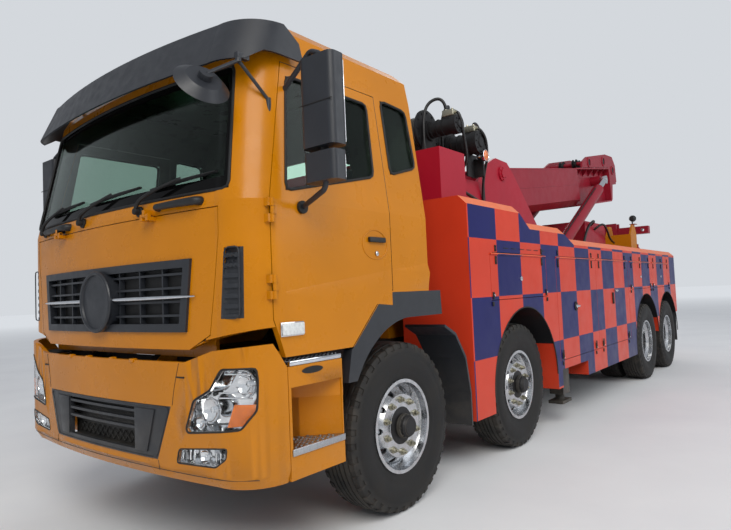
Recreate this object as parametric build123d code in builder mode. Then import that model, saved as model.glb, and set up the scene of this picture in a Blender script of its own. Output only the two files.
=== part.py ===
from build123d import *
from math import atan2, cos, hypot, radians, sin
import os

# Heavy four-axle wrecker with a flat-roofed forward cab, checkered side lockers,
# a telescopic boom on a mast and a folding underlift at the tail.
# Millimetres. +Z is up, the cab faces -Y and +X is the vehicle's left side.
# The origin is on the ground, midway along the length and the width.

# Driving dimensions
LENGTH = 10730.0
FRONT_OVERHANG = 1560.0
AXLE_GAPS = (1800.0, 4300.0, 1350.0)
BODY_HALF = 1250.0
RUN_GAP = 0.3
PIN_FIT = 0.08
SWING_GAP = 5.0

FRONT_Y = -LENGTH / 2
AXLE_1 = FRONT_Y + FRONT_OVERHANG
TAIL = LENGTH - FRONT_OVERHANG
STEER_AXLES = (0.0, AXLE_GAPS[0])
DRIVE_AXLES = (AXLE_GAPS[0] + AXLE_GAPS[1], sum(AXLE_GAPS))

# Wheels and tyres
TYRE_R = 542.5
TYRE_HALF = 148.0
BEAD_R = 286.0
RIM_HALF = 127.0
FLANGE_R = 299.0
WHEEL_Z = TYRE_R
STEER_WHEEL_X = 1025.0
DUAL_OUTER_X = 1097.0
DUAL_SPACING = 345.0
HUB_R = 135.0
STUB_R = 40.0
DRUM_R = 205.0
HAND_HOLES = 10

# Ladder frame
RAIL_X = 430.0
RAIL_FLANGE = 80.0
RAIL_WEB = 10.0
RAIL_BOTTOM = 720.0
RAIL_TOP = 1020.0
RAIL_FRONT = -1200.0
RAIL_REAR = 8250.0
CROSS_MEMBERS = (-1100.0, 1500.0, 2600.0, 4300.0, 5500.0, 6775.0, 8120.0)

# Cab
CAB_WALL = 30.0
CAB_REAR = 230.0
CAB_FLOOR = 1110.0
CAB_SHELF = 1410.0
BELT_Z = 1900.0
DOOR_AXIS = (1250.0, -1167.5)
DOOR_HINGES = (1400.0, 1780.0)
HINGE_R = 11.0
HINGE_PIN_R = 6.0
HANDLE_Y = -410.0
HANDLE_Z = 1715.0
LID_AXIS = (-1415.0, 1875.0)
LID_HINGE_X = 520.0
TILT_Y = -1345.0
TILT_Z = 1010.0
TILT_PIN_R = 22.0
TILT_PLATES = ((300.0, 325.0), (405.0, 430.0))
TILT_EAR = (335.0, 395.0)

# Round mirror ahead of the left pillar, which is the foremost point of the truck
ROUND_MIRROR_R = 140.0
ROUND_MIRROR_X = 1061.0
ROUND_MIRROR_Z = 2453.0
ROUND_MIRROR_FACE = (0.812, -0.159, 0.562)
ROUND_MIRROR_JOINT = (1130.0, -1250.0, 2600.0)
ROUND_MIRROR_FOOT = (1160.0, -1085.0, 2430.0)

# Cab outline by height, rearward from the front axle
CAB_SECTIONS = (
    dict(z=CAB_FLOOR, half=1245.0, nose=-1400.0, corner_x=1000.0, corner_y=-1330.0, side_y=-1100.0),
    dict(z=BELT_Z, half=1245.0, nose=-1395.0, corner_x=1000.0, corner_y=-1325.0, side_y=-1100.0),
    dict(z=2700.0, half=1150.0, nose=-1240.0, corner_x=900.0, corner_y=-1170.0, side_y=-950.0),
    dict(z=2860.0, half=1120.0, nose=-1150.0, corner_x=880.0, corner_y=-1080.0, side_y=-900.0),
    dict(z=2950.0, half=1020.0, nose=-1000.0, corner_x=780.0, corner_y=-940.0, side_y=-780.0),
)

# Bumper outline by height
BUMPER_WALL = 25.0
BUMPER_SECTIONS = (
    dict(z=495.0, half=1225.0, nose=-1395.0, corner_x=980.0, corner_y=-1330.0, side_y=-1110.0),
    dict(z=560.0, half=1245.0, nose=-1430.0, corner_x=1000.0, corner_y=-1365.0, side_y=-1120.0),
    dict(z=1190.0, half=1245.0, nose=-1430.0, corner_x=1000.0, corner_y=-1365.0, side_y=-1120.0),
)

# Side bodies
BODY_INNER = 620.0
BODY_WALL = 30.0
BODY_FRONT = 800.0
BODY_REAR = 8180.0
ARCH_R = 680.0
DOOR_THICK = 25.0
LEAF_AXIS = (1252.0, 1684.0)
LEAF_HINGE_R = 8.5
LEAF_PIN_R = 4.0
LID_LOW = 1312.0
LID_HIGH = 1675.0
TALL_LOW = 665.0

# Locker doors: from, to, bottom; all hang from one line at LID_HIGH
LOCKER_LIDS = (
    dict(start=1150.0, end=2310.0, low=LID_LOW),
    dict(start=5270.0, end=6420.0, low=LID_LOW),
    dict(start=6520.0, end=7680.0, low=LID_LOW),
)
LOCKER_DOORS = (
    dict(start=2570.0, end=3812.0, low=TALL_LOW),
    dict(start=3817.0, end=5170.0, low=TALL_LOW),
)

# Boom, measured from its pivot along and square to the boom
BOOM_PIVOT = (3100.0, 2720.0)
BOOM_ANGLE = 8.0
BOOM_HALF = 360.0
BOOM_TOP = 90.0
BOOM_BOTTOM = -490.0
BOOM_BEVEL = 90.0
BOOM_WALL = 16.0
BOOM_END = 3050.0
NECK_HALF = 240.0
NECK_END = 4850.0
INNER_HALF = 205.0
INNER_TOP = 40.0
INNER_BOTTOM = -400.0
INNER_START = 700.0
HEAD_END = 5330.0
PIN_R = 45.0

# Lift cylinders
CYL_X = 455.0
CYL_FOOT = (4500.0, 1700.0)
CYL_EYE = (7180.0, 3170.0)
CYL_R = 85.0
ROD_R = 50.0
CYL_PIN_R = 35.0

# Rear mudflaps
FLAP_Y = 8090.0
FLAP_LOW = 380.0

# Deck and tail
DECK_Z = 1220.0
SUBFRAME_HALF = 430.0
MAST_X = 450.0
MAST_PLATE = 35.0
TOWER_HALF = 1040.0
TOWER_TOP = 2540.0
TOWER_LOW = 2130.3
ARM_HALF = 160.0
ARM_FRONT = 8880.0
ARM_REAR = TAIL
ARM_TOP = 2260.0
LIFT_TOP = 2570.0
FOLD_Y = 9010.0
FOLD_Z = 600.0
BAR_HALF = 700.0
BAR_Z = 2402.0
SWIVEL_R = 32.0
SOCKET_X = 600.0
SOCKET_R = 30.0

# Winches on their platform between the tower and the mast
PLATFORM_Z = 2500.0
DRUM_HALF = 430.0
DRUM_FLANGE_R = 205.0
DRUM_ROPE_R = 150.0
MOTOR_END = 780.0
WINCHES = (
    dict(y=1620.0, z=2942.0, motor_r=78.0),
    dict(y=2025.0, z=2841.0, motor_r=105.0),
)

# Support legs
LEG_X = 1120.0
LEG_Y = 2825.0
LEG_R = 45.0
FOOT_Z = 210.0

os.makedirs("parts", exist_ok=True)


def save(builder, node):
    builder.part.label = node
    export_step(builder.part, f"parts/{node}.step")


def side_plane(x):
    return Plane(origin=(x, AXLE_1, 0), x_dir=(0, 1, 0), z_dir=(1, 0, 0))


def front_plane(y):
    return Plane(origin=(0, AXLE_1 + y, 0), x_dir=(1, 0, 0), z_dir=(0, -1, 0))


def plan_plane(z):
    return Plane(origin=(0, AXLE_1, z))


# Prisms from an outline seen from the side, from the front or from above
def side_prism(points, x_low, x_high):
    with BuildPart() as prism:
        with BuildSketch(side_plane(x_low)):
            with BuildLine():
                Polyline(*points, close=True)
            make_face()
        extrude(amount=x_high - x_low)
    return prism.part


def front_prism(points, y_front, y_rear):
    with BuildPart() as prism:
        with BuildSketch(front_plane(y_rear)):
            with BuildLine():
                Polyline(*points, close=True)
            make_face()
        extrude(amount=y_rear - y_front)
    return prism.part


def block(x, y, z):
    with BuildPart() as piece:
        with BuildSketch(plan_plane(z[0])):
            with Locations(((x[0] + x[1]) / 2, (y[0] + y[1]) / 2)):
                Rectangle(x[1] - x[0], y[1] - y[0])
        extrude(amount=z[1] - z[0])
    return piece.part


def bar_x(y, z, radius, x_low, x_high):
    with BuildPart() as bar:
        with BuildSketch(side_plane(x_low)):
            with Locations((y, z)):
                Circle(radius)
        extrude(amount=x_high - x_low)
    return bar.part


def rounded_block(x, y, z, radius):
    with BuildPart() as piece:
        with BuildSketch(plan_plane(z[0])):
            with Locations(((x[0] + x[1]) / 2, (y[0] + y[1]) / 2)):
                RectangleRounded(x[1] - x[0], y[1] - y[0], radius)
        extrude(amount=z[1] - z[0])
    return piece.part


def bar_z(x, y, radius, z_low, z_high):
    with BuildPart() as bar:
        with BuildSketch(plan_plane(z_low)):
            with Locations((x, y)):
                Circle(radius)
        extrude(amount=z_high - z_low)
    return bar.part


def bar_y(x, z, radius, y_front, y_rear):
    with BuildPart() as bar:
        with BuildSketch(front_plane(y_rear)):
            with Locations((x, z)):
                Circle(radius)
        extrude(amount=y_rear - y_front)
    return bar.part


def bar_between(start, end, radius):
    start, end = Vector(*start), Vector(*end)
    with BuildPart() as bar:
        with BuildSketch(Plane(origin=start, z_dir=end - start)):
            Circle(radius)
        extrude(amount=(end - start).length)
    return bar.part


def both_sides(piece):
    return [piece, mirror(piece, about=Plane.YZ)]


# A body lofted through plan outlines with a bowed nose and rounded front corners
def bowed_outline(section, inset, rear):
    half = section["half"] - inset
    nose = (0, section["nose"] + inset)
    corner = (section["corner_x"] - 0.4 * inset, section["corner_y"] + inset)
    side = (half, section["side_y"] + 0.4 * inset)
    sharp = (half, corner[1])
    bulge = tuple((a + b) / 2 + 0.414 * (c - (a + b) / 2) for a, b, c in zip(corner, side, sharp))
    with BuildSketch(plan_plane(section["z"])) as outline:
        with BuildLine():
            Line((-half, rear), (half, rear))
            Line((half, rear), side)
            ThreePointArc(side, bulge, corner)
            ThreePointArc(corner, nose, (-corner[0], corner[1]))
            ThreePointArc((-corner[0], corner[1]), (-bulge[0], bulge[1]), (-side[0], side[1]))
            Line((-side[0], side[1]), (-half, rear))
        make_face()
    return outline.sketch


def bowed_solid(sections, inset, rear, low=None, high=None):
    rows = [dict(section) for section in sections]
    if low is not None:
        rows[0]["z"] = low
    if high is not None:
        rows[-1]["z"] = high
    outlines = [bowed_outline(row, inset, rear) for row in rows]
    with BuildPart() as solid:
        loft(sections=outlines, ruled=True)
    return solid.part


# Tyres and rims, made at a wheel centre x with the disc face on the +X side
def wheel_plane(x, axle):
    return Plane(origin=(x, AXLE_1 + axle, WHEEL_Z), x_dir=(1, 0, 0), z_dir=(0, -1, 0))


def tyre_ring(x, axle):
    tread_r = TYRE_R - 6
    seat = BEAD_R + RUN_GAP
    with BuildPart() as ring:
        with BuildSketch(wheel_plane(x, axle)):
            with BuildLine():
                Line((-RIM_HALF + 14, seat), (-RIM_HALF + 14, 300))
                ThreePointArc((-RIM_HALF + 14, 300), (-TYRE_HALF, 405), (-TYRE_HALF + 14, 505))
                Line((-TYRE_HALF + 14, 505), (-TYRE_HALF + 28, tread_r))
                ThreePointArc((-TYRE_HALF + 28, tread_r), (0, TYRE_R), (TYRE_HALF - 28, tread_r))
                Line((TYRE_HALF - 28, tread_r), (TYRE_HALF - 14, 505))
                ThreePointArc((TYRE_HALF - 14, 505), (TYRE_HALF, 405), (RIM_HALF - 14, 300))
                Line((RIM_HALF - 14, 300), (RIM_HALF - 14, seat))
                Line((RIM_HALF - 14, seat), (RIM_HALF - 40, seat))
                ThreePointArc((RIM_HALF - 40, seat), (TYRE_HALF - 20, 405), (TYRE_HALF - 42, 505))
                Line((TYRE_HALF - 42, 505), (-TYRE_HALF + 42, 505))
                ThreePointArc((-TYRE_HALF + 42, 505), (-TYRE_HALF + 20, 405), (-RIM_HALF + 40, seat))
                Line((-RIM_HALF + 40, seat), (-RIM_HALF + 14, seat))
            make_face()
        revolve(axis=Axis((x, AXLE_1 + axle, WHEEL_Z), (1, 0, 0)))
    return ring.part


# Barrel with its two flanges and a disc that reaches in to the hub
def rim_ring(x, axle, disc_in, disc_out, disc_thick):
    seat = BEAD_R
    well = 262.0
    wall = 9.0
    with BuildPart() as ring:
        with BuildSketch(wheel_plane(x, axle)):
            with BuildLine():
                Polyline(
                    (-RIM_HALF, FLANGE_R), (-RIM_HALF + 13, FLANGE_R), (-RIM_HALF + 14, seat),
                    (-RIM_HALF + 45, seat - 2), (-45, well), (45, well), (RIM_HALF - 45, seat - 2),
                    (RIM_HALF - 14, seat), (RIM_HALF - 13, FLANGE_R), (RIM_HALF, FLANGE_R),
                    (RIM_HALF, seat - wall), (RIM_HALF - 45, seat - 2 - wall), (45, well - wall),
                    (-45, well - wall), (-RIM_HALF + 45, seat - 2 - wall), (-RIM_HALF, seat - wall),
                    close=True,
                )
            make_face()
        revolve(axis=Axis((x, AXLE_1 + axle, WHEEL_Z), (1, 0, 0)))
        with BuildSketch(wheel_plane(x, axle)):
            with BuildLine():
                Polyline(
                    (disc_out, HUB_R - 15), (disc_out, 200), (disc_in + disc_thick, well - wall + 3),
                    (disc_in, well - wall + 3), (disc_out - disc_thick, 200),
                    (disc_out - disc_thick, HUB_R - 15), close=True,
                )
            make_face()
        revolve(axis=Axis((x, AXLE_1 + axle, WHEEL_Z), (1, 0, 0)))
        start = x + (disc_in + disc_out) / 2 - 90
        with BuildSketch(Plane(origin=(start, AXLE_1 + axle, WHEEL_Z), x_dir=(0, 1, 0), z_dir=(1, 0, 0))):
            with PolarLocations(221, HAND_HOLES):
                Circle(22)
        extrude(amount=180, mode=Mode.SUBTRACT)
    return ring.part


# Hub and brake drum in one turned piece, bored for the spindle
def hub_drum(x, axle, profile):
    with BuildPart() as hub:
        with BuildSketch(wheel_plane(x, axle)):
            with BuildLine():
                Polyline(*profile, close=True)
            make_face()
        revolve(axis=Axis((x, AXLE_1 + axle, WHEEL_Z), (1, 0, 0)))
    return hub.part


def steer_hub_profile():
    bore = STUB_R + PIN_FIT
    face = RIM_HALF - 20
    return (
        (-70, bore), (150, bore), (150, 0), (185, 0), (185, 55), (165, 70), (face + 8, 72),
        (face, HUB_R - 12), (face - 12, HUB_R), (face - 30, HUB_R), (face - 30, DRUM_R - 6),
        (face - 50, DRUM_R), (-70, DRUM_R), (-70, DRUM_R - 18), (face - 60, DRUM_R - 18),
        (face - 60, 80), (-70, 80),
    )


def drive_hub_profile():
    bore = STUB_R + PIN_FIT
    mount = -DUAL_SPACING / 2
    return (
        (mount - 250, bore), (20, bore), (20, 0), (70, 0), (70, 60), (60, 85), (20, 85),
        (-20, 110), (mount + 26, 118), (mount + 12, HUB_R), (mount - 12, HUB_R),
        (mount - 30, DRUM_R - 10), (mount - 45, DRUM_R), (mount - 250, DRUM_R),
        (mount - 250, DRUM_R - 18), (mount - 60, DRUM_R - 18), (mount - 60, 80),
        (mount - 250, 80),
    )


def make_wheels():
    for number, axle in enumerate(STEER_AXLES, start=1):
        tyre = tyre_ring(STEER_WHEEL_X, axle)
        rim = rim_ring(STEER_WHEEL_X, axle, 20, RIM_HALF - 20, 12)
        hub = hub_drum(STEER_WHEEL_X, axle, steer_hub_profile())
        save_wheel(number, [tyre], [rim, hub])
    inner_x = DUAL_OUTER_X - DUAL_SPACING
    mount = DUAL_SPACING / 2
    for number, axle in enumerate(DRIVE_AXLES, start=3):
        tyres = [tyre_ring(DUAL_OUTER_X, axle), tyre_ring(inner_x, axle)]
        outer = rim_ring(DUAL_OUTER_X, axle, -30, -mount, -12)
        inner = rim_ring(inner_x, axle, 30, mount, 12)
        hub = hub_drum(DUAL_OUTER_X, axle, drive_hub_profile())
        save_wheel(number, tyres, [outer, inner, hub])


def save_wheel(number, tyres, rims):
    for side in ("left", "right"):
        for kind, pieces in (("tyre", tyres), ("rim", rims)):
            placed = [piece if side == "left" else mirror(piece, about=Plane.YZ) for piece in pieces]
            with BuildPart() as node:
                add(placed)
            save(node, f"{kind}_{number}_{side}")


# Ladder frame with C rails, cross members and the cab's hinge brackets
def make_chassis():
    with BuildPart() as frame:
        for sign in (1, -1):
            web = sign * (RAIL_X - RAIL_WEB / 2)
            flange = sign * (RAIL_X - RAIL_FLANGE / 2)
            with BuildSketch(front_plane(RAIL_REAR)):
                with Locations((web, (RAIL_BOTTOM + RAIL_TOP) / 2)):
                    Rectangle(RAIL_WEB, RAIL_TOP - RAIL_BOTTOM)
                for z in (RAIL_BOTTOM + RAIL_WEB / 2, RAIL_TOP - RAIL_WEB / 2):
                    with Locations((flange, z)):
                        Rectangle(RAIL_FLANGE, RAIL_WEB)
            extrude(amount=RAIL_REAR - RAIL_FRONT)
        for y in CROSS_MEMBERS:
            add(block((-RAIL_X + 5, RAIL_X - 5), (y - 50, y + 50), (780, 940)))
        add(block((-880, 880), (RAIL_FRONT - 60, RAIL_FRONT), (690, 900)))
        bracket = (
            (RAIL_FRONT + 40, 880), (RAIL_FRONT + 40, TILT_Z), (TILT_Y + 40, TILT_Z + 36),
            (TILT_Y - 20, TILT_Z + 30), (TILT_Y - 32, TILT_Z - 25), (RAIL_FRONT - 50, 860),
        )
        for near, far in TILT_PLATES:
            for side in both_sides(side_prism(bracket, near, far)):
                add(side)
        for side in both_sides(bar_x(TILT_Y, TILT_Z, TILT_PIN_R, TILT_PLATES[0][0], TILT_PLATES[1][1])):
            add(side)
    save(frame, "chassis_frame")


def make_engine():
    with BuildPart() as engine:
        add(block((-330, 330), (-800, 550), (620, 1360)))
        add(block((-220, 220), (550, 1350), (620, 990)))
        for y in (-550, 350):
            add(block((-RAIL_X, RAIL_X), (y - 60, y + 60), (RAIL_TOP, RAIL_TOP + 25)))
    save(engine, "engine_block")


KING_X = 855.0
EYE_R = 48.0
EYE_HALF = 52.0
KING_PIN_R = 22.0


# Steered beam axles with their leaf springs under the rails
def make_front_axles():
    beam = (
        (-KING_X, WHEEL_Z - 50), (-KING_X, WHEEL_Z + 40), (-700, WHEEL_Z + 30), (-560, WHEEL_Z - 30),
        (560, WHEEL_Z - 30), (700, WHEEL_Z + 30), (KING_X, WHEEL_Z + 40), (KING_X, WHEEL_Z - 50),
        (690, WHEEL_Z - 60), (550, WHEEL_Z - 130), (-550, WHEEL_Z - 130), (-690, WHEEL_Z - 60),
    )
    with BuildPart() as axles:
        for axle in STEER_AXLES:
            add(front_prism(beam, axle - 42, axle + 42))
            for sign in (1, -1):
                with BuildSketch(plan_plane(WHEEL_Z - EYE_HALF)):
                    with Locations((sign * KING_X, axle)):
                        Circle(EYE_R)
                extrude(amount=2 * EYE_HALF)
                with BuildSketch(side_plane(sign * 392 - 40)):
                    with BuildLine():
                        ThreePointArc((axle - 680, 668), (axle, 545), (axle + 680, 668))
                        Line((axle + 680, 668), (axle + 680, 712))
                        ThreePointArc((axle + 680, 712), (axle, 600), (axle - 680, 712))
                        Line((axle - 680, 712), (axle - 680, 668))
                    make_face()
                extrude(amount=80)
                for y in (axle - 680, axle + 680):
                    add(block((sign * 392 - 40, sign * 392 + 40), (y - 30, y + 30), (660, RAIL_BOTTOM)))
                add(block((sign * 392 - 45, sign * 392 + 45), (axle - 55, axle + 55), (WHEEL_Z - 60, 560)))
                with BuildSketch(plan_plane(WHEEL_Z - EYE_HALF - 1)):
                    with Locations((sign * KING_X, axle)):
                        Circle(KING_PIN_R + PIN_FIT)
                extrude(amount=2 * EYE_HALF + 2, mode=Mode.SUBTRACT)
    save(axles, "front_axles")


# Knuckle: two lugs and a king pin, a back plate and the spindle
def make_knuckles():
    for number, axle in enumerate(STEER_AXLES, start=1):
        lug = EYE_HALF + 1.5
        with BuildPart() as knuckle:
            for low in (WHEEL_Z - lug - 34, WHEEL_Z + lug):
                with BuildSketch(plan_plane(low)):
                    with Locations((KING_X, axle)):
                        Circle(EYE_R)
                    with Locations(((KING_X + 925) / 2, axle)):
                        Rectangle(925 - KING_X, 2 * EYE_R)
                extrude(amount=34)
            with BuildSketch(plan_plane(WHEEL_Z - lug - 10)):
                with Locations((KING_X, axle)):
                    Circle(KING_PIN_R)
            extrude(amount=2 * lug + 20)
            add(block((912, 935), (axle - 70, axle + 70), (WHEEL_Z - lug - 34, WHEEL_Z + lug + 34)))
            add(bar_x(axle, WHEEL_Z, STUB_R, 930, STEER_WHEEL_X + 140))
        save(knuckle, f"knuckle_{number}_left")
        with BuildPart() as other:
            add(mirror(knuckle.part, about=Plane.YZ))
        save(other, f"knuckle_{number}_right")


# Driven axles with their housings, spring packs and the trunnion between them
def make_rear_axles():
    middle = sum(DRIVE_AXLES) / 2
    mount = DUAL_OUTER_X - DUAL_SPACING / 2
    with BuildPart() as axles:
        for axle in DRIVE_AXLES:
            add(bar_x(axle, WHEEL_Z, 78, -mount + 262, mount - 262))
            add(bar_x(axle, WHEEL_Z, STUB_R, -DUAL_OUTER_X - 5, DUAL_OUTER_X + 5))
            with BuildSketch(front_plane(axle + 170)):
                with Locations((0, WHEEL_Z)):
                    Circle(215)
            extrude(amount=300)
            for sign in (1, -1):
                add(block((sign * 500 - 50, sign * 500 + 50), (axle - 70, axle + 70), (WHEEL_Z + 40, 668)))
        for sign in (1, -1):
            with BuildSketch(side_plane(sign * 500 - 45)):
                with BuildLine():
                    first, last = DRIVE_AXLES
                    ThreePointArc((first - 60, 660), (middle, 780), (last + 60, 660))
                    Line((last + 60, 660), (last + 60, 700))
                    ThreePointArc((last + 60, 700), (middle, 880), (first - 60, 700))
                    Line((first - 60, 700), (first - 60, 660))
                make_face()
            extrude(amount=90)
            x = (RAIL_X, 560) if sign > 0 else (-560, -RAIL_X)
            add(block(x, (middle - 110, middle + 110), (600, 960)))
    save(axles, "rear_axles")


# Cab openings seen from the side
DOOR_OUTLINE = (
    (-1105, CAB_FLOOR), (-1165, 1300), (-1165, BELT_Z), (-985, 2660), (-185, 2660), (-185, 1425),
    (-262, 1425), (-590, CAB_FLOOR),
)
DOOR_WINDOW = ((-1062, 1950), (-962, 2590), (-275, 2590), (-300, 2120))
QUARTER_WINDOW = ((-115, 2160), (-115, 2655), (160, 2640), (185, 2245))
ARCH_CUT = ((-590, CAB_FLOOR - 10), (-262, CAB_SHELF), (CAB_REAR + 10, CAB_SHELF), (CAB_REAR + 10, CAB_FLOOR - 10))

# Front openings seen from the front
WINDSHIELD = ((-1085, 1960), (-1000, 2640), (1000, 2640), (1085, 1960))
# The lid's upper sides stand upright, so its inner edge clears the opening as it turns
LID_OUTLINE = (
    (-1024, 1870), (1024, 1870), (1024, 1735), (950, 1236), (800, 1160), (-800, 1160), (-950, 1236),
    (-1024, 1735),
)
CORNER_CUT = (
    (-1300, 1275), (-950, 1215), (-800, 1160), (800, 1160), (950, 1215), (1300, 1275), (1300, 1000),
    (-1300, 1000),
)
REAR_WINDOW = ((-620, 2050), (-620, 2480), (620, 2480), (620, 2050))
CORNER_VENT = ((1060, 1664), (1155, 1664), (1150, 1314), (1030, 1314))
VENT_PITCH = 50.0


def side_cut(points, grow, x_low, x_high):
    with BuildPart() as prism:
        with BuildSketch(side_plane(x_low)):
            with BuildLine():
                Polyline(*points, close=True)
            make_face()
            if grow:
                offset(amount=grow, kind=Kind.INTERSECTION)
        extrude(amount=x_high - x_low)
    return prism.part


def front_cut(points, grow, y_front, y_rear):
    with BuildPart() as prism:
        with BuildSketch(front_plane(y_rear)):
            with BuildLine():
                Polyline(*points, close=True)
            make_face()
            if grow:
                offset(amount=grow, kind=Kind.INTERSECTION)
        extrude(amount=y_rear - y_front)
    return prism.part


def cab_body(inset, floor):
    roof = CAB_SECTIONS[-1]["z"] - inset
    return bowed_solid(CAB_SECTIONS, inset, CAB_REAR - inset, floor, roof)


def vent_skin(outer, inner, grow):
    with BuildPart() as skin:
        add(outer)
        add(inner, mode=Mode.SUBTRACT)
        add(front_cut(CORNER_VENT, grow, -1500, -1150), mode=Mode.INTERSECT)
    return skin.part


def make_cab():
    outer = cab_body(0, CAB_FLOOR)
    inner = cab_body(CAB_WALL, CAB_FLOOR - 10)
    arch = side_prism(ARCH_CUT, -1300, 1300)
    arch_roof = side_cut(ARCH_CUT, CAB_WALL, -1300, 1300)
    tunnel = block((-450, 450), (-1080, CAB_REAR + 10), (CAB_FLOOR - 10, CAB_SHELF))
    tunnel_roof = block((-480, 480), (-1110, CAB_REAR + 10), (CAB_FLOOR - 10, CAB_SHELF + CAB_WALL))
    gap = SWING_GAP
    with BuildPart() as room:
        add(cab_body(CAB_WALL, CAB_FLOOR + CAB_WALL))
        add(arch_roof, mode=Mode.SUBTRACT)
        add(tunnel_roof, mode=Mode.SUBTRACT)
        add(block((-1150, 1150), (-1262, -1242), (CAB_FLOOR, BELT_Z - 15)), mode=Mode.SUBTRACT)
    with BuildPart() as door_band:
        add(cab_body(-2, CAB_FLOOR - 20))
        add(cab_body(CAB_WALL + gap, CAB_FLOOR - 30), mode=Mode.SUBTRACT)
        add(side_cut(DOOR_OUTLINE, gap, -1300, 1300), mode=Mode.INTERSECT)
    with BuildPart() as shell:
        add(outer)
        add(room.part, mode=Mode.SUBTRACT)
        add(arch, mode=Mode.SUBTRACT)
        add(tunnel, mode=Mode.SUBTRACT)
        add(front_cut(CORNER_CUT, 0, -1500, -1262), mode=Mode.SUBTRACT)
        for sign in (1, -1):
            corner = [(sign * x, z) for x, z in ((900, 1000), (900, 1205), (950, 1215), (1300, 1275), (1300, 1000))]
            add(front_cut(corner, 0, -1500, -1110), mode=Mode.SUBTRACT)
            add(side_cut(QUARTER_WINDOW, 0, sign * 1180 - 120, sign * 1180 + 120), mode=Mode.SUBTRACT)
        add(door_band.part, mode=Mode.SUBTRACT)
        for side in both_sides(vent_skin(outer, inner, 0)):
            add(side, mode=Mode.SUBTRACT)
        add(front_cut(WINDSHIELD, 0, -1500, -900), mode=Mode.SUBTRACT)
        add(front_cut(LID_OUTLINE, gap, -1500, -1270), mode=Mode.SUBTRACT)
        add(front_cut(REAR_WINDOW, 0, CAB_REAR - 60, CAB_REAR + 10), mode=Mode.SUBTRACT)
        ear = (
            (TILT_Y - 30, TILT_Z - 18), (TILT_Y - 26, TILT_Z + 22), (TILT_Y + 10, TILT_Z + 34),
            (TILT_Y + 85, CAB_FLOOR + 5), (TILT_Y + 235, CAB_FLOOR + 5), (TILT_Y + 100, TILT_Z - 25),
            (TILT_Y + 10, TILT_Z - 32),
        )
        for side in both_sides(side_prism(ear, *TILT_EAR)):
            add(side)
        for z in DOOR_HINGES:
            for low in (z, z + 80):
                for side in both_sides(bar_z(*DOOR_AXIS, HINGE_R, low, low + 40)):
                    add(side)
                lug = block((1212, DOOR_AXIS[0]), (DOOR_AXIS[1] - 28, DOOR_AXIS[1] - 2.5), (low, low + 40))
                for side in both_sides(lug):
                    add(side)
            for side in both_sides(bar_z(*DOOR_AXIS, HINGE_PIN_R, z, z + 120)):
                add(side)
        for side in both_sides(block((LID_HINGE_X - 12, LID_HINGE_X + 12), (-1427, -1355), (1881, 1905))):
            add(side)
        for side in both_sides(bar_x(*LID_AXIS, HINGE_R + 1, LID_HINGE_X - 12, LID_HINGE_X + 12)):
            add(side)
        for side in both_sides(bar_x(*LID_AXIS, HINGE_PIN_R, LID_HINGE_X - 38, LID_HINGE_X + 38)):
            add(side)
        for side in both_sides(bar_x(TILT_Y, TILT_Z, TILT_PIN_R + PIN_FIT, TILT_EAR[0] - 1, TILT_EAR[1] + 1)):
            add(side, mode=Mode.SUBTRACT)
    save(shell, "cab_shell")

    for side in ("left", "right"):
        low, high = (1000, 1300) if side == "left" else (-1300, -1000)
        with BuildPart() as door:
            add(outer)
            add(inner, mode=Mode.SUBTRACT)
            add(side_prism(DOOR_OUTLINE, low, high), mode=Mode.INTERSECT)
            add(side_prism(DOOR_WINDOW, low, high), mode=Mode.SUBTRACT)
            for z in DOOR_HINGES:
                knuckle = [
                    bar_z(*DOOR_AXIS, HINGE_R, z + 42, z + 78),
                    block((1225, DOOR_AXIS[0]), (DOOR_AXIS[1] + 2.5, DOOR_AXIS[1] + 28), (z + 42, z + 78)),
                ]
                bore = bar_z(*DOOR_AXIS, HINGE_PIN_R + PIN_FIT, z + 40, z + 80)
                if side == "right":
                    knuckle = [mirror(piece, about=Plane.YZ) for piece in knuckle]
                    bore = mirror(bore, about=Plane.YZ)
                add(knuckle)
                add(bore, mode=Mode.SUBTRACT)
            grip = [
                block((1246, 1262), (HANDLE_Y, HANDLE_Y + 150), (HANDLE_Z, HANDLE_Z + 26)),
                block((1240, 1250), (HANDLE_Y, HANDLE_Y + 24), (HANDLE_Z, HANDLE_Z + 26)),
                block((1240, 1250), (HANDLE_Y + 126, HANDLE_Y + 150), (HANDLE_Z, HANDLE_Z + 26)),
                bar_x(HANDLE_Y + 75, HANDLE_Z - 70, 14, 1240, 1250),
            ]
            add(grip if side == "left" else [mirror(piece, about=Plane.YZ) for piece in grip])
        save(door, f"door_{side}")

    with BuildPart() as lid:
        add(outer)
        add(inner, mode=Mode.SUBTRACT)
        add(front_cut(LID_OUTLINE, 0, -1500, -1270), mode=Mode.INTERSECT)
        add(front_cut(GRILLE_OPENING, 0, -1500, -1200), mode=Mode.SUBTRACT)
        for near in (LID_HINGE_X - 38, LID_HINGE_X + 14):
            for side in both_sides(bar_x(*LID_AXIS, HINGE_R, near, near + 24)):
                add(side)
            for side in both_sides(block((near, near + 24), (-1426, -1368), (1848, 1868))):
                add(side)
        bore = bar_x(*LID_AXIS, HINGE_PIN_R + PIN_FIT, LID_HINGE_X - 40, LID_HINGE_X + 40)
        for side in both_sides(bore):
            add(side, mode=Mode.SUBTRACT)
    save(lid, "front_lid")
    return outer, inner


GRILLE_OUTLINE = ((-835, 1625), (835, 1625), (790, 1250), (-790, 1250))
GRILLE_OPENING = ((-790, 1590), (790, 1590), (750, 1285), (-750, 1285))


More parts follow.
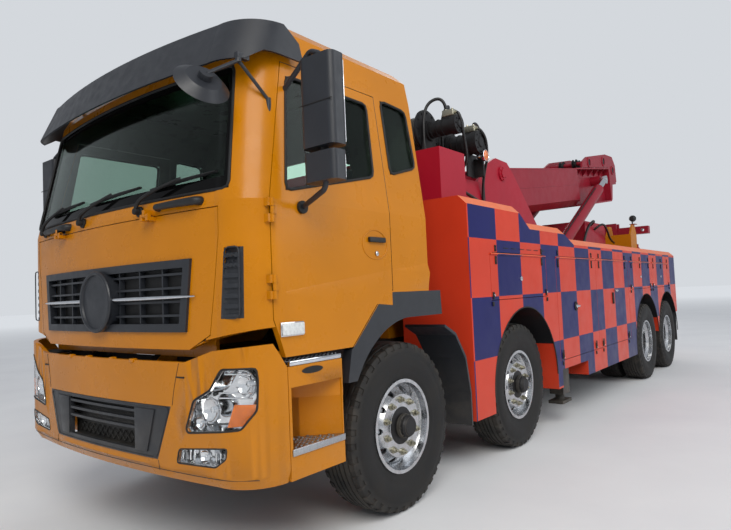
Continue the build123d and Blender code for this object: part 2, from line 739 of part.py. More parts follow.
# Panes sit inside the skin, in the middle of the wall
def make_glass():
    with BuildPart() as layer:
        add(cab_body(10, CAB_FLOOR))
        add(cab_body(16, CAB_FLOOR - 10), mode=Mode.SUBTRACT)
    clear = -RUN_GAP
    with BuildPart() as glass:
        for prism in (
            front_cut(WINDSHIELD, clear, -1500, -900),
            side_cut(QUARTER_WINDOW, clear, 1000, 1300),
            side_cut(QUARTER_WINDOW, clear, -1300, -1000),
            front_cut(REAR_WINDOW, clear, CAB_REAR - 40, CAB_REAR + 10),
        ):
            with BuildPart(mode=Mode.PRIVATE) as pane:
                add(layer.part)
                add(prism, mode=Mode.INTERSECT)
            add(pane.part)
    save(glass, "cab_glass")
    for side in ("left", "right"):
        low, high = (1000, 1300) if side == "left" else (-1300, -1000)
        with BuildPart() as pane:
            add(layer.part)
            add(side_cut(DOOR_WINDOW, clear, low, high), mode=Mode.INTERSECT)
        save(pane, f"door_glass_{side}")


# Grille: a frame over the lid's opening, louvres and a blank round boss
def make_grille(outer, inner):
    nose = CAB_SECTIONS[0]["nose"]
    raised = cab_body(-14, CAB_FLOOR)
    frame_face = front_cut(GRILLE_OUTLINE, 0, -1500, -1270)
    opening = front_cut(GRILLE_OPENING, -8, -1500, -1200)
    with BuildPart() as rim:
        add(raised)
        add(outer, mode=Mode.SUBTRACT)
        add(frame_face, mode=Mode.INTERSECT)
        add(opening, mode=Mode.SUBTRACT)
    with BuildPart() as liner:
        add(outer)
        add(inner, mode=Mode.SUBTRACT)
        add(front_cut(GRILLE_OPENING, -RUN_GAP, -1500, -1200), mode=Mode.INTERSECT)
        add(opening, mode=Mode.SUBTRACT)
    with BuildPart() as slats:
        for row in range(4):
            z = 1330 + 72 * row
            add(front_cut(((-785, z), (785, z), (785, z + 12), (-785, z + 12)), 0, -1500, -1200))
        for column in range(7):
            x = -600 + 200 * column
            add(front_cut(((x - 5, 1270), (x + 5, 1270), (x + 5, 1600), (x - 5, 1600)), 0, -1500, -1200))
    with BuildPart() as louvres:
        add(outer)
        add(inner, mode=Mode.SUBTRACT)
        add(front_cut(GRILLE_OPENING, -RUN_GAP, -1500, -1200), mode=Mode.INTERSECT)
        add(slats.part, mode=Mode.INTERSECT)
    with BuildPart() as boss:
        with BuildSketch(front_plane(nose + CAB_WALL)):
            with Locations((0, 1425)):
                Circle(178)
        extrude(amount=CAB_WALL + 30)
    with BuildPart() as boss_core:
        add(boss.part)
        add(front_cut(GRILLE_OPENING, -RUN_GAP, -1500, -1200), mode=Mode.INTERSECT)
    with BuildPart() as boss_face:
        add(boss.part)
        add(outer, mode=Mode.SUBTRACT)
    with BuildPart() as grille:
        add(rim.part)
        add(liner.part)
        add(louvres.part)
        add(boss_core.part)
        add(boss_face.part)
    save(grille, "grille")


HEADLAMP = (
    (1057, 1073), (1200, 1074), (1204, 1016), (1199, 872), (1145, 786), (817, 750), (802, 767),
    (861, 913), (977, 969),
)
FOG_LAMP = ((745, 664), (1078, 698), (1071, 646), (1005, 601), (727, 592))
LOWER_GRILLE = ((-690, 872), (690, 872), (575, 592), (-575, 592))
AIR_OPENING = ((-375, 850), (375, 850), (375, 625), (-375, 625))
BUMPER_TOP = (
    (-1300, 1400), (-1300, 1190), (-1000, 1160), (-800, 1100), (800, 1100), (1000, 1160), (1300, 1190),
    (1300, 1400),
)
BUMPER_SIDE = ((-1500, 480), (-1100, 480), (-1100, 1060), (-1190, 1195), (-1500, 1195))


def mirrored(points):
    return [(-x, z) for x, z in points]


def make_bumper():
    outer = bowed_solid(BUMPER_SECTIONS, 0, -1000)
    inner = bowed_solid(BUMPER_SECTIONS, BUMPER_WALL, -990, 490, 1200)
    with BuildPart() as skin:
        add(outer)
        add(inner, mode=Mode.SUBTRACT)
        add(side_prism(BUMPER_SIDE, -1300, 1300), mode=Mode.INTERSECT)
        add(front_cut(BUMPER_TOP, 0, -1500, -1000), mode=Mode.SUBTRACT)
    depth = (-1500, -1130)
    with BuildPart() as bumper:
        add(skin.part)
        for outline in (HEADLAMP, mirrored(HEADLAMP), FOG_LAMP, mirrored(FOG_LAMP), LOWER_GRILLE):
            add(front_cut(outline, 0, *depth), mode=Mode.SUBTRACT)
        for sign in (1, -1):
            outer_x, inner_x = sign * 1245, sign * 960
            x = (min(outer_x, inner_x), max(outer_x, inner_x))
            add(side_prism(
                ((-1095, 500), (-690, 500), (-690, 640), (-860, 640), (-860, 860), (-690, 860),
                 (-690, 1060), (-1095, 1060)), x[0], x[1]))
        for sign in (1, -1):
            x = (880, 962) if sign > 0 else (-962, -880)
            add(block(x, (-1360, -700), (695, 745)))
    save(bumper, "bumper")

    with BuildPart() as lamps:
        for outline in (HEADLAMP, mirrored(HEADLAMP), FOG_LAMP, mirrored(FOG_LAMP)):
            with BuildPart(mode=Mode.PRIVATE) as lens:
                add(outer)
                add(inner, mode=Mode.SUBTRACT)
                add(front_cut(outline, -RUN_GAP, *depth), mode=Mode.INTERSECT)
            add(lens.part)
        rear_lamp = rounded_block((780, 1160), (BODY_REAR + RUN_GAP, BODY_REAR + 42), (930, 1050), 12)
        for side in both_sides(rear_lamp):
            add(side)
    save(lamps, "lamps")

    with BuildPart() as panel:
        add(outer)
        add(inner, mode=Mode.SUBTRACT)
        add(front_cut(LOWER_GRILLE, -RUN_GAP, *depth), mode=Mode.INTERSECT)
        add(front_cut(AIR_OPENING, 0, *depth), mode=Mode.SUBTRACT)
    with BuildPart() as slats:
        for row in range(3):
            z = 835 - 45 * row
            add(front_cut(((-380, z), (380, z), (380, z - 14), (-380, z - 14)), 0, *depth))
        add(outer, mode=Mode.INTERSECT)
        add(inner, mode=Mode.SUBTRACT)
    with BuildPart() as lower:
        add(panel.part)
        add(slats.part)
    save(lower, "bumper_grille")


# Dark mouldings on the cab: arch flares and louvred vents in the front corners
def make_cab_trim(outer):
    flare = (
        (-640, 915), (-600, 1095), (-588, 1101.5), (-261.3, CAB_SHELF - RUN_GAP),
        (375, CAB_SHELF - RUN_GAP), (385, 1245),
        (-190, 1245), (-460, 1060), (-560, 915),
    )
    low, high = CORNER_VENT[2][1], CORNER_VENT[0][1]
    with BuildPart() as vent:
        add(vent_skin(outer, cab_body(20, CAB_FLOOR - 10), -RUN_GAP))
        with BuildPart(mode=Mode.PRIVATE) as face:
            add(outer)
            add(cab_body(12, CAB_FLOOR - 10), mode=Mode.SUBTRACT)
        with BuildPart(mode=Mode.PRIVATE) as slots:
            for row in range(int((high - low) / VENT_PITCH)):
                z = low + 22 + VENT_PITCH * row
                add(front_cut(((1052, z), (1140, z), (1140, z + 28), (1052, z + 28)), 0, -1500, -1150))
            add(face.part, mode=Mode.INTERSECT)
        add(slots.part, mode=Mode.SUBTRACT)
    with BuildPart() as trim:
        for side in both_sides(side_prism(flare, 1185, 1245)):
            add(side)
        for side in both_sides(vent.part):
            add(side)
    save(trim, "cab_trim")


def make_visor():
    rows = (
        dict(z=2615, half=1215.0, nose=-1385.0, corner_x=960.0, corner_y=-1315.0, side_y=-1060.0),
        dict(z=2860, half=1185.0, nose=-1290.0, corner_x=930.0, corner_y=-1210.0, side_y=-960.0),
    )
    outer = bowed_solid(rows, 0, -600)
    inner = bowed_solid(rows, 14, -590)
    outline = (
        (-1500, 2600), (-1250, 2600), (-1130, 2675), (-865, 2675), (-880, 2780), (-990, 2870),
        (-1500, 2870),
    )
    with BuildPart() as brackets:
        for x in (-700, 0, 700):
            add(block((x - 15, x + 15), (-1340, -1100), (2770, 2790)))
        add(outer, mode=Mode.INTERSECT)
        add(cab_body(-RUN_GAP, CAB_FLOOR), mode=Mode.SUBTRACT)
    with BuildPart() as visor:
        add(outer)
        add(inner, mode=Mode.SUBTRACT)
        add(side_prism(outline, -1300, 1300), mode=Mode.INTERSECT)
        add(brackets.part)
        add(round_mirror())
    save(visor, "sun_visor")


# Convex mirror: its rim reaches the front of the truck, its legs meet under the visor's corner
def round_mirror():
    face = Vector(*ROUND_MIRROR_FACE).normalized()
    reach = ROUND_MIRROR_R * hypot(face.X, face.Z)
    centre = Vector(ROUND_MIRROR_X, FRONT_Y + reach, ROUND_MIRROR_Z)
    joint = (ROUND_MIRROR_JOINT[0], AXLE_1 + ROUND_MIRROR_JOINT[1], ROUND_MIRROR_JOINT[2])
    foot = (ROUND_MIRROR_FOOT[0], AXLE_1 + ROUND_MIRROR_FOOT[1], ROUND_MIRROR_FOOT[2])
    hub = centre + face * 62
    back = Plane(origin=centre, z_dir=face)
    with BuildPart() as shell:
        with BuildSketch(back):
            Circle(ROUND_MIRROR_R)
        with BuildSketch(back.offset(38)):
            Circle(ROUND_MIRROR_R - 52)
        loft()
        with BuildSketch(back.offset(20)):
            Circle(34)
        extrude(amount=50)
        add(bar_between(tuple(hub), joint, 10))
        add(bar_between(joint, foot, 9))
        with BuildSketch(Plane(origin=joint, z_dir=(0, 0, 1)).offset(-10)):
            Circle(16)
        extrude(amount=40)
        joint_y = ROUND_MIRROR_JOINT[1]
        add(block((joint[0] - 14, joint[0] + 14), (joint_y - 14, joint_y + 60), (2612, 2640)))
        add(bar_z(ROUND_MIRROR_FOOT[0], ROUND_MIRROR_FOOT[1], 13, foot[2] - 70, foot[2] + 10))
        add(cab_body(-RUN_GAP, CAB_FLOOR), mode=Mode.SUBTRACT)
    return shell.part


# Door mirrors: two housings on a bent tube that is bolted to the door
def make_mirrors():
    with BuildPart() as mirror_left:
        with BuildLine() as arm:
            FilletPolyline(
                (1150, AXLE_1 - 975, 2500), (1400, AXLE_1 - 1010, 2640), (1480, AXLE_1 - 1020, 2600),
                (1480, AXLE_1 - 1020, 1930), (1258, AXLE_1 - 960, 1870), radius=45,
            )
        with BuildSketch(Plane(origin=arm.line @ 0, z_dir=arm.line % 0)):
            Circle(14)
        sweep(path=arm.line)
        add(rounded_block((1370, 1590), (-1075, -965), (2130, 2580), 35))
        add(rounded_block((1375, 1585), (-1070, -970), (1960, 2105), 30))
        add(bar_x(-960, 1870, 28, 1230, 1262))
        add(cab_body(0, CAB_FLOOR), mode=Mode.SUBTRACT)
    save(mirror_left, "mirror_left")
    with BuildPart() as mirror_right:
        add(mirror(mirror_left.part, about=Plane.YZ))
    save(mirror_right, "mirror_right")


DRIVER_X = -560.0
WHEEL_CENTRE = (-790.0, 1950.0)
COLUMN_ANGLE = 60.0


# Dashboard, seat bases and the steering column
def make_interior():
    dash = (
        (-1241.7, 1500), (-1241.7, 1880), (-1130, 1900), (-960, 1870), (-860, 1790), (-850, 1620), (-1000, 1500),
    )
    with BuildPart() as interior:
        add(side_prism(dash, -1190, 1190))
        add(cab_body(CAB_WALL + 10, CAB_FLOOR), mode=Mode.INTERSECT)
        for x in (DRIVER_X, -DRIVER_X):
            add(block((x - 220, x + 220), (-480, -60), (CAB_SHELF + CAB_WALL, 1620)))
        column = Plane(
            origin=(DRIVER_X, AXLE_1 + WHEEL_CENTRE[0], WHEEL_CENTRE[1]), x_dir=(1, 0, 0),
            z_dir=(0, -cos(radians(COLUMN_ANGLE)), -sin(radians(COLUMN_ANGLE))),
        ).offset(40)
        with BuildSketch(column):
            Circle(38)
        extrude(amount=320)
    save(interior, "cab_interior")


def make_seats():
    with BuildPart() as seats:
        for x in (DRIVER_X, -DRIVER_X):
            add(block((x - 250, x + 250), (-520, -40), (1620.3, 1760)))
            add(side_prism(((-40, 1700), (-120, 1765), (-20, 2330), (90, 2330), (60, 1700)), x - 240, x + 240))
            add(side_prism(((0, 2350), (20, 2560), (100, 2560), (85, 2350)), x - 140, x + 140))
            add(block((x - 30, x + 30), (20, 60), (2325, 2355)))
    save(seats, "seats")


def make_steering_wheel():
    tilt = radians(COLUMN_ANGLE)
    plane = Plane(
        origin=(DRIVER_X, AXLE_1 + WHEEL_CENTRE[0], WHEEL_CENTRE[1]), x_dir=(1, 0, 0),
        z_dir=(0, cos(tilt), sin(tilt)),
    )
    with BuildPart() as wheel:
        with BuildSketch(plane.offset(-15)):
            Circle(235)
            Circle(205, mode=Mode.SUBTRACT)
            Circle(60)
            with PolarLocations(130, 4, start_angle=45):
                Rectangle(165, 30)
        extrude(amount=30)
        with BuildSketch(plane.offset(-39.7)):
            Circle(34)
        extrude(amount=30)
    save(wheel, "steering_wheel")


# Guards behind the first wheels, in front of the side bodies
def make_mudguards():
    # The rear pair hangs under the side bodies' tails
    with BuildPart() as guards:
        for sign in (1, -1):
            with BuildSketch(side_plane(900 if sign > 0 else -1240)):
                with BuildLine():
                    Polyline((420, 1150), (560, 1080), (690, 900), (745, 640), (745, 400), (760, 400),
                             (760, 650), (705, 915), (572, 1098), (425, 1168), close=True)
                make_face()
            extrude(amount=340)
            x = (RAIL_X, 905) if sign > 0 else (-905, -RAIL_X)
            add(block(x, (690, 730), (900, 940)))
            flap = (650, 1240) if sign > 0 else (-1240, -650)
            add(block(flap, (FLAP_Y, FLAP_Y + 12), (FLAP_LOW, 870 - RUN_GAP)))
            add(block(flap, (FLAP_Y + 12, FLAP_Y + 24), (870 - RUN_GAP - 60, 870 - RUN_GAP)))
    save(guards, "mudguards")


# Side body outline: stepped top, three wheel arches and a notch for the support leg
BODY_OUTLINE = (
    (BODY_FRONT, 420), (BODY_FRONT, 2060), (1770, 2060), (1980, 1930), (2860, 1930), (3130, 1830),
    (BODY_REAR, 1830), (BODY_REAR, 870), (7900, 870), (7900, 420), (3370, 420), (3370, 575),
    (2600, 575), (2600, 400), (2470, 400), (2470, 420),
)
CAP_RISE = 70.0
CAP_IN = 70.0
CAP_TOP = (
    (BODY_FRONT, 2060), (1770, 2060), (1980, 1930), (2860, 1930), (3130, 1830), (BODY_REAR, 1830),
)


def body_rooms():
    return (
        ((1120.0, 2340.0), (LID_LOW - 40, LID_HIGH + 30)),
        ((2560.0, 5180.0), (TALL_LOW - 20, LID_HIGH + 30)),
        ((5260.0, 7700.0), (LID_LOW - 40, LID_HIGH + 30)),
    )


def make_side_bodies():
    arches = (AXLE_GAPS[0],) + DRIVE_AXLES
    shoulder = BODY_HALF - CAP_IN
    with BuildPart() as cap:
        for x, rise in ((shoulder, CAP_RISE), (BODY_HALF, 1)):
            with BuildSketch(side_plane(x)):
                with BuildLine():
                    Polyline(*CAP_TOP, *[(y, z + rise) for y, z in reversed(CAP_TOP)], close=True)
                make_face()
        loft(ruled=True)
        roof = [(y, z + CAP_RISE) for y, z in reversed(CAP_TOP)]
        add(side_prism([*CAP_TOP, *roof], BODY_INNER, shoulder))
    with BuildPart() as body:
        add(side_prism(BODY_OUTLINE, BODY_INNER, BODY_HALF))
        add(cap.part)
        for axle in arches:
            add(bar_x(axle, 550, ARCH_R, BODY_INNER - 1, BODY_HALF + 1), mode=Mode.SUBTRACT)
            add(block((BODY_INNER - 1, BODY_HALF + 1), (axle - ARCH_R, axle + ARCH_R), (300, 550)), mode=Mode.SUBTRACT)
        for (start, end), (low, high) in body_rooms():
            add(block((BODY_INNER + BODY_WALL, BODY_HALF - DOOR_THICK - 5), (start, end), (low, high)), mode=Mode.SUBTRACT)
        for leaf in LOCKER_LIDS + LOCKER_DOORS:
            gap = SWING_GAP
            start, end = leaf["start"], leaf["end"]
            add(block((BODY_HALF - 60, BODY_HALF + 1), (start - gap, end + gap),
                      (leaf["low"] - gap, LID_HIGH + gap)), mode=Mode.SUBTRACT)
            add(block((BODY_HALF - 12, BODY_HALF + 1), (start + 42, end - 42), (LID_HIGH, LID_HIGH + 24)),
                mode=Mode.SUBTRACT)
            for near in (start + 5, end - 40):
                add(bar_y(*LEAF_AXIS, LEAF_HINGE_R, near, near + 35))
            add(bar_y(*LEAF_AXIS, LEAF_PIN_R, start + 5, end - 5))
    with BuildPart() as bodies:
        for side in both_sides(body.part):
            add(side)
    save(bodies, "side_bodies")
    for group, leaves in (("lids", LOCKER_LIDS), ("doors", LOCKER_DOORS)):
        for side in ("left", "right"):
            x = (BODY_HALF - DOOR_THICK, BODY_HALF) if side == "left" else (-BODY_HALF, -BODY_HALF + DOOR_THICK)
            with BuildPart() as panels:
                for leaf in leaves:
                    start, end = leaf["start"], leaf["end"]
                    add(block(x, (start, end), (leaf["low"], LID_HIGH)))
                    strip = [
                        bar_y(*LEAF_AXIS, LEAF_HINGE_R, start + 44, end - 44),
                        block((BODY_HALF - 6, BODY_HALF), (start + 44, end - 44), (LID_HIGH - 15, LEAF_AXIS[1])),
                    ]
                    bore = bar_y(*LEAF_AXIS, LEAF_PIN_R + PIN_FIT, start + 40, end - 40)
                    if side == "right":
                        strip = [mirror(piece, about=Plane.YZ) for piece in strip]
                        bore = mirror(bore, about=Plane.YZ)
                    add(strip)
                    add(bore, mode=Mode.SUBTRACT)
            save(panels, f"locker_{group}_{side}")


# Red steelwork on the deck: winch tower, boom mast and hose box
def make_mast():
    pivot_y, pivot_z = BOOM_PIVOT
    plate = (
        (2350, DECK_Z), (2350, 2420), (2750, 2790), (2950, 2880), (3250, 2870), (3420, 2750), (4050, 2190),
        (4250, 1900), (4300, DECK_Z),
    )
    with BuildPart() as mast:
        add(block((-615, 615), (800, 825), (DECK_Z, TOWER_TOP)))
        add(block((-TOWER_HALF, TOWER_HALF), (800, 825), (TOWER_LOW, TOWER_TOP)))
        for side in both_sides(block((TOWER_HALF - 25, TOWER_HALF), (800, 1200), (TOWER_LOW, TOWER_TOP))):
            add(side)
        for side in both_sides(block((590, 615), (800, 1200), (DECK_Z, TOWER_TOP))):
            add(side)
        for side in both_sides(block((590, 615), (1190, 2376), (2135, PLATFORM_Z))):
            add(side)
        add(block((-615, 615), (1195, 2376), (PLATFORM_Z - 20, PLATFORM_Z)))
        add(block((-TOWER_HALF, TOWER_HALF), (1175, 1200), (TOWER_LOW, TOWER_TOP)))
        for side in both_sides(side_prism(plate, MAST_X, MAST_X + MAST_PLATE)):
            add(side)
        add(block((-615, 615), (2350, 2375), (DECK_Z, PLATFORM_Z)))
        add(bar_x(pivot_y, pivot_z, PIN_R, -MAST_X - MAST_PLATE - 25, MAST_X + MAST_PLATE + 25))
        add(block((-615, 615), (1195, 2352), (DECK_Z, DECK_Z + 25)))
        add(block((-350, 350), (6350, 7400), (2082, 2420)))
    save(mast, "mast")


# Two cable winches with gear cases and motors
def make_winches():
    base = PLATFORM_Z + RUN_GAP
    with BuildPart() as winches:
        for winch in WINCHES:
            y, z, motor_r = winch["y"], winch["z"], winch["motor_r"]
            add(bar_x(y, z, DRUM_ROPE_R, -DRUM_HALF, DRUM_HALF))
            for near in (-DRUM_HALF, DRUM_HALF - 20):
                add(bar_x(y, z, DRUM_FLANGE_R, near, near + 20))
            stand = ((y - 180, base), (y - 70, z + 60), (y + 70, z + 60), (y + 180, base))
            for near in (-DRUM_HALF - 25, DRUM_HALF + 5):
                add(side_prism(stand, near, near + 20))
            add(bar_x(y, z, 60, -DRUM_HALF - 30, DRUM_HALF + 30))
            add(block((-DRUM_HALF - 25, DRUM_HALF + 25), (y - 180, y + 180), (base, base + 20)))
            add(bar_x(y, z, 150, -DRUM_HALF - 150, -DRUM_HALF - 20))
            add(bar_x(y, z, 120, -DRUM_HALF - 180, -DRUM_HALF - 150))
            add(bar_x(y, z, motor_r + 22, DRUM_HALF + 20, DRUM_HALF + 50))
            add(bar_x(y, z, motor_r, DRUM_HALF + 45, MOTOR_END - 60))
            add(bar_x(y, z, motor_r + 12, MOTOR_END - 65, MOTOR_END))
            add(block((MOTOR_END - 150, MOTOR_END - 40), (y - 45, y + 45), (z + motor_r - 20, z + motor_r + 62)))
    save(winches, "winches")


def on_boom(u, v):
    angle = radians(BOOM_ANGLE)
    y, z = BOOM_PIVOT
    return y + u * cos(angle) - v * sin(angle), z + u * sin(angle) + v * cos(angle)


def boom_plane(u):
    angle = radians(BOOM_ANGLE)
    y, z = BOOM_PIVOT
    origin = (0, AXLE_1 + y + u * cos(angle), z + u * sin(angle))
    return Plane(origin=origin, x_dir=(-1, 0, 0), z_dir=(0, cos(angle), sin(angle)))


def boom_box(half, low, high, start, end):
    with BuildPart() as box:
        with BuildSketch(boom_plane(start)):
            with Locations((0, (low + high) / 2)):
                Rectangle(2 * half, high - low)
        extrude(amount=end - start)
    return box.part


def boom_side_prism(points, x_low, x_high):
    angle = radians(BOOM_ANGLE)
    y, z = BOOM_PIVOT
    plane = Plane(origin=(x_low, AXLE_1 + y, z), x_dir=(0, cos(angle), sin(angle)), z_dir=(1, 0, 0))
    with BuildPart() as prism:
        with BuildSketch(plane):
            with BuildLine():
                Polyline(*points, close=True)
            make_face()
        extrude(amount=x_high - x_low)
    return prism.part


def make_boom():
    section = (
        (-BOOM_HALF, BOOM_TOP), (BOOM_HALF, BOOM_TOP), (BOOM_HALF, BOOM_BOTTOM + BOOM_BEVEL),
        (BOOM_HALF - BOOM_BEVEL, BOOM_BOTTOM), (-BOOM_HALF + BOOM_BEVEL, BOOM_BOTTOM),
        (-BOOM_HALF, BOOM_BOTTOM + BOOM_BEVEL),
    )
    with BuildPart() as outer:
        with BuildSketch(boom_plane(-120)):
            with BuildLine():
                Polyline(*section, close=True)
            make_face()
            offset(amount=-BOOM_WALL, kind=Kind.INTERSECTION, mode=Mode.SUBTRACT)
        extrude(amount=BOOM_END + 120)
        add(boom_box(BOOM_HALF - 5, BOOM_BOTTOM + 60, BOOM_TOP - 5, BOOM_END - 20, BOOM_END))
        add(boom_box(NECK_HALF, BOOM_BOTTOM + 10, BOOM_TOP - 10, BOOM_END - 30, NECK_END))
        add(boom_box(350, BOOM_TOP - 10, BOOM_TOP + 10, BOOM_END - 10, NECK_END))
        add(boom_box(350, BOOM_BOTTOM - 15, BOOM_BOTTOM + 10, BOOM_END - 10, NECK_END))
        add(boom_box(350, BOOM_BOTTOM - 15, BOOM_TOP + 10, NECK_END - 25, NECK_END))
        bore = INNER_HALF + SWING_GAP
        add(boom_box(bore, INNER_BOTTOM - SWING_GAP, INNER_TOP + SWING_GAP, BOOM_END - 60, NECK_END + 10), mode=Mode.SUBTRACT)
        for low, high in ((INNER_TOP + RUN_GAP, INNER_TOP + 10), (INNER_BOTTOM - 10, INNER_BOTTOM - RUN_GAP)):
            add(boom_box(120, low, high, NECK_END - 200, NECK_END - 30))
        for side in both_sides(bar_x(*CYL_EYE, 80, NECK_HALF - 5, CYL_X - ROD_R - SWING_GAP)):
            add(side)
        add(bar_x(*BOOM_PIVOT, PIN_R + 60, -BOOM_HALF - 60, BOOM_HALF + 60))
        add(bar_x(*BOOM_PIVOT, PIN_R + PIN_FIT, -BOOM_HALF - 61, BOOM_HALF + 61), mode=Mode.SUBTRACT)
    save(outer, "boom_outer")

    cheek = (
        (3420, 110), (3450, 210), (3700, 290), (4750, 350), (5180, 310), (HEAD_END, 150), (HEAD_END, -160),
        (5060, -200), (4960, -480), (NECK_END + 8, -480), (NECK_END + 8, 110),
    )
    with BuildPart() as inner:
        add(boom_box(INNER_HALF, INNER_BOTTOM, INNER_TOP, INNER_START, 5000))
        add(boom_box(INNER_HALF - 16, INNER_BOTTOM + 16, INNER_TOP - 16, INNER_START - 1, 4990), mode=Mode.SUBTRACT)
        for side in both_sides(boom_side_prism(cheek, 300, 330)):
            add(side)
        add(boom_box(330, -480, 110, NECK_END + 8, NECK_END + 38))
        add(boom_box(330, -200, -170, NECK_END + 8, 5280))
        for u, v in ((3750, 200), (4600, 220), (5120, 60)):
            add(bar_x(*on_boom(u, v), 30, -330, 330))
    save(inner, "boom_inner")


def cylinder_plane(x, distance):
    foot, eye = CYL_FOOT, CYL_EYE
    angle = atan2(eye[1] - foot[1], eye[0] - foot[0])
    origin = (x, AXLE_1 + foot[0] + distance * cos(angle), foot[1] + distance * sin(angle))
    return Plane(origin=origin, x_dir=(1, 0, 0), z_dir=(0, cos(angle), sin(angle)))


def make_cylinders():
    length = hypot(CYL_EYE[0] - CYL_FOOT[0], CYL_EYE[1] - CYL_FOOT[1])
    barrel_end = length - 420
    with BuildPart() as barrels:
        for x in (CYL_X, -CYL_X):
            with BuildSketch(cylinder_plane(x, 60)):
                Circle(CYL_R)
            extrude(amount=barrel_end - 60)
            add(bar_x(*CYL_FOOT, 75, x - 40, x + 40))
            with BuildSketch(cylinder_plane(x, 160)):
                Circle(ROD_R + PIN_FIT)
            extrude(amount=barrel_end, mode=Mode.SUBTRACT)
            add(bar_x(*CYL_FOOT, CYL_PIN_R + PIN_FIT, x - 41, x + 41), mode=Mode.SUBTRACT)
    save(barrels, "cylinder_barrels")
    with BuildPart() as rods:
        for x in (CYL_X, -CYL_X):
            with BuildSketch(cylinder_plane(x, 300)):
                Circle(ROD_R)
            extrude(amount=length - 300)
            add(bar_x(*CYL_EYE, 70, x - 40, x + 40))
            add(bar_x(*CYL_EYE, CYL_PIN_R, x - 48, x + 48))
    save(rods, "cylinder_rods")


# Deck frame between the side bodies, cylinder feet, leg sleeves and the tail tower
def make_deck():
    foot_y, foot_z = CYL_FOOT
    with BuildPart() as deck:
        for side in both_sides(block((SUBFRAME_HALF - 90, SUBFRAME_HALF), (850, 8400), (RAIL_TOP, DECK_Z - 20))):
            add(side)
        add(block((-BODY_INNER, BODY_INNER), (830, 8180), (DECK_Z - 20, DECK_Z)))
        for x in (CYL_X, -CYL_X):
            for ear in (x - 115, x + 90):
                add(side_prism(
                    ((foot_y - 260, DECK_Z - 10), (foot_y - 70, foot_z + 60), (foot_y + 70, foot_z + 60),
                     (foot_y + 260, DECK_Z - 10)), ear, ear + 25))
            add(bar_x(foot_y, foot_z, CYL_PIN_R, x - 120, x + 120))
        for side in both_sides(block((300, 330), (6000, 8000), (DECK_Z - 5, 2062))):
            add(side)
        add(block((-330, 330), (6000, 8000), (2062, 2082)))
        add(block((-620, 620), (8000, 8030), (DECK_Z - 5, 2270)))
        add(block((-620, 620), (8370, 8400), (1040, 2270)))
        for x in (-620, -215, 185, 590):
            add(side_prism(((8000, DECK_Z), (8000, 2270), (8150, 2450), (8300, 2450), (8400, 2270), (8400, DECK_Z)), x, x + 30))
        for side in both_sides(side_prism(((8400, 420), (8400, 1040), (8600, 1040), (9050, 720), (9100, 560), (9000, 480), (8600, 420)), 175, 215)):
            add(side)
        for side in both_sides(block((175, 430), (8370, 8400), (420, 1060))):
            add(side)
        add(bar_x(FOLD_Y, FOLD_Z, PIN_R, -215, 215))
        add(block((-LEG_X + 70, LEG_X - 70), (LEG_Y - 70, LEG_Y + 70), (420, 560)))
        for side in both_sides(block((350, 430), (LEG_Y - 70, LEG_Y + 70), (560, RAIL_BOTTOM))):
            add(side)
        for x in (LEG_X, -LEG_X):
            add(block((x - 72, x + 72), (LEG_Y - 90, LEG_Y + 90), (300, 565)))
            with BuildSketch(plan_plane(290)):
                with Locations((x, LEG_Y)):
                    Circle(LEG_R + PIN_FIT)
            extrude(amount=290, mode=Mode.SUBTRACT)
    save(deck, "deck_frame")


def make_legs():
    for side, x in (("left", LEG_X), ("right", -LEG_X)):
        with BuildPart() as leg:
            with BuildSketch(plan_plane(FOOT_Z + 20)):
                with Locations((x, LEG_Y)):
                    Circle(LEG_R)
            extrude(amount=330)
            add(block((x - 75, x + 75), (LEG_Y - 125, LEG_Y + 125), (FOOT_Z, FOOT_Z + 30)))
        save(leg, f"leg_{side}")


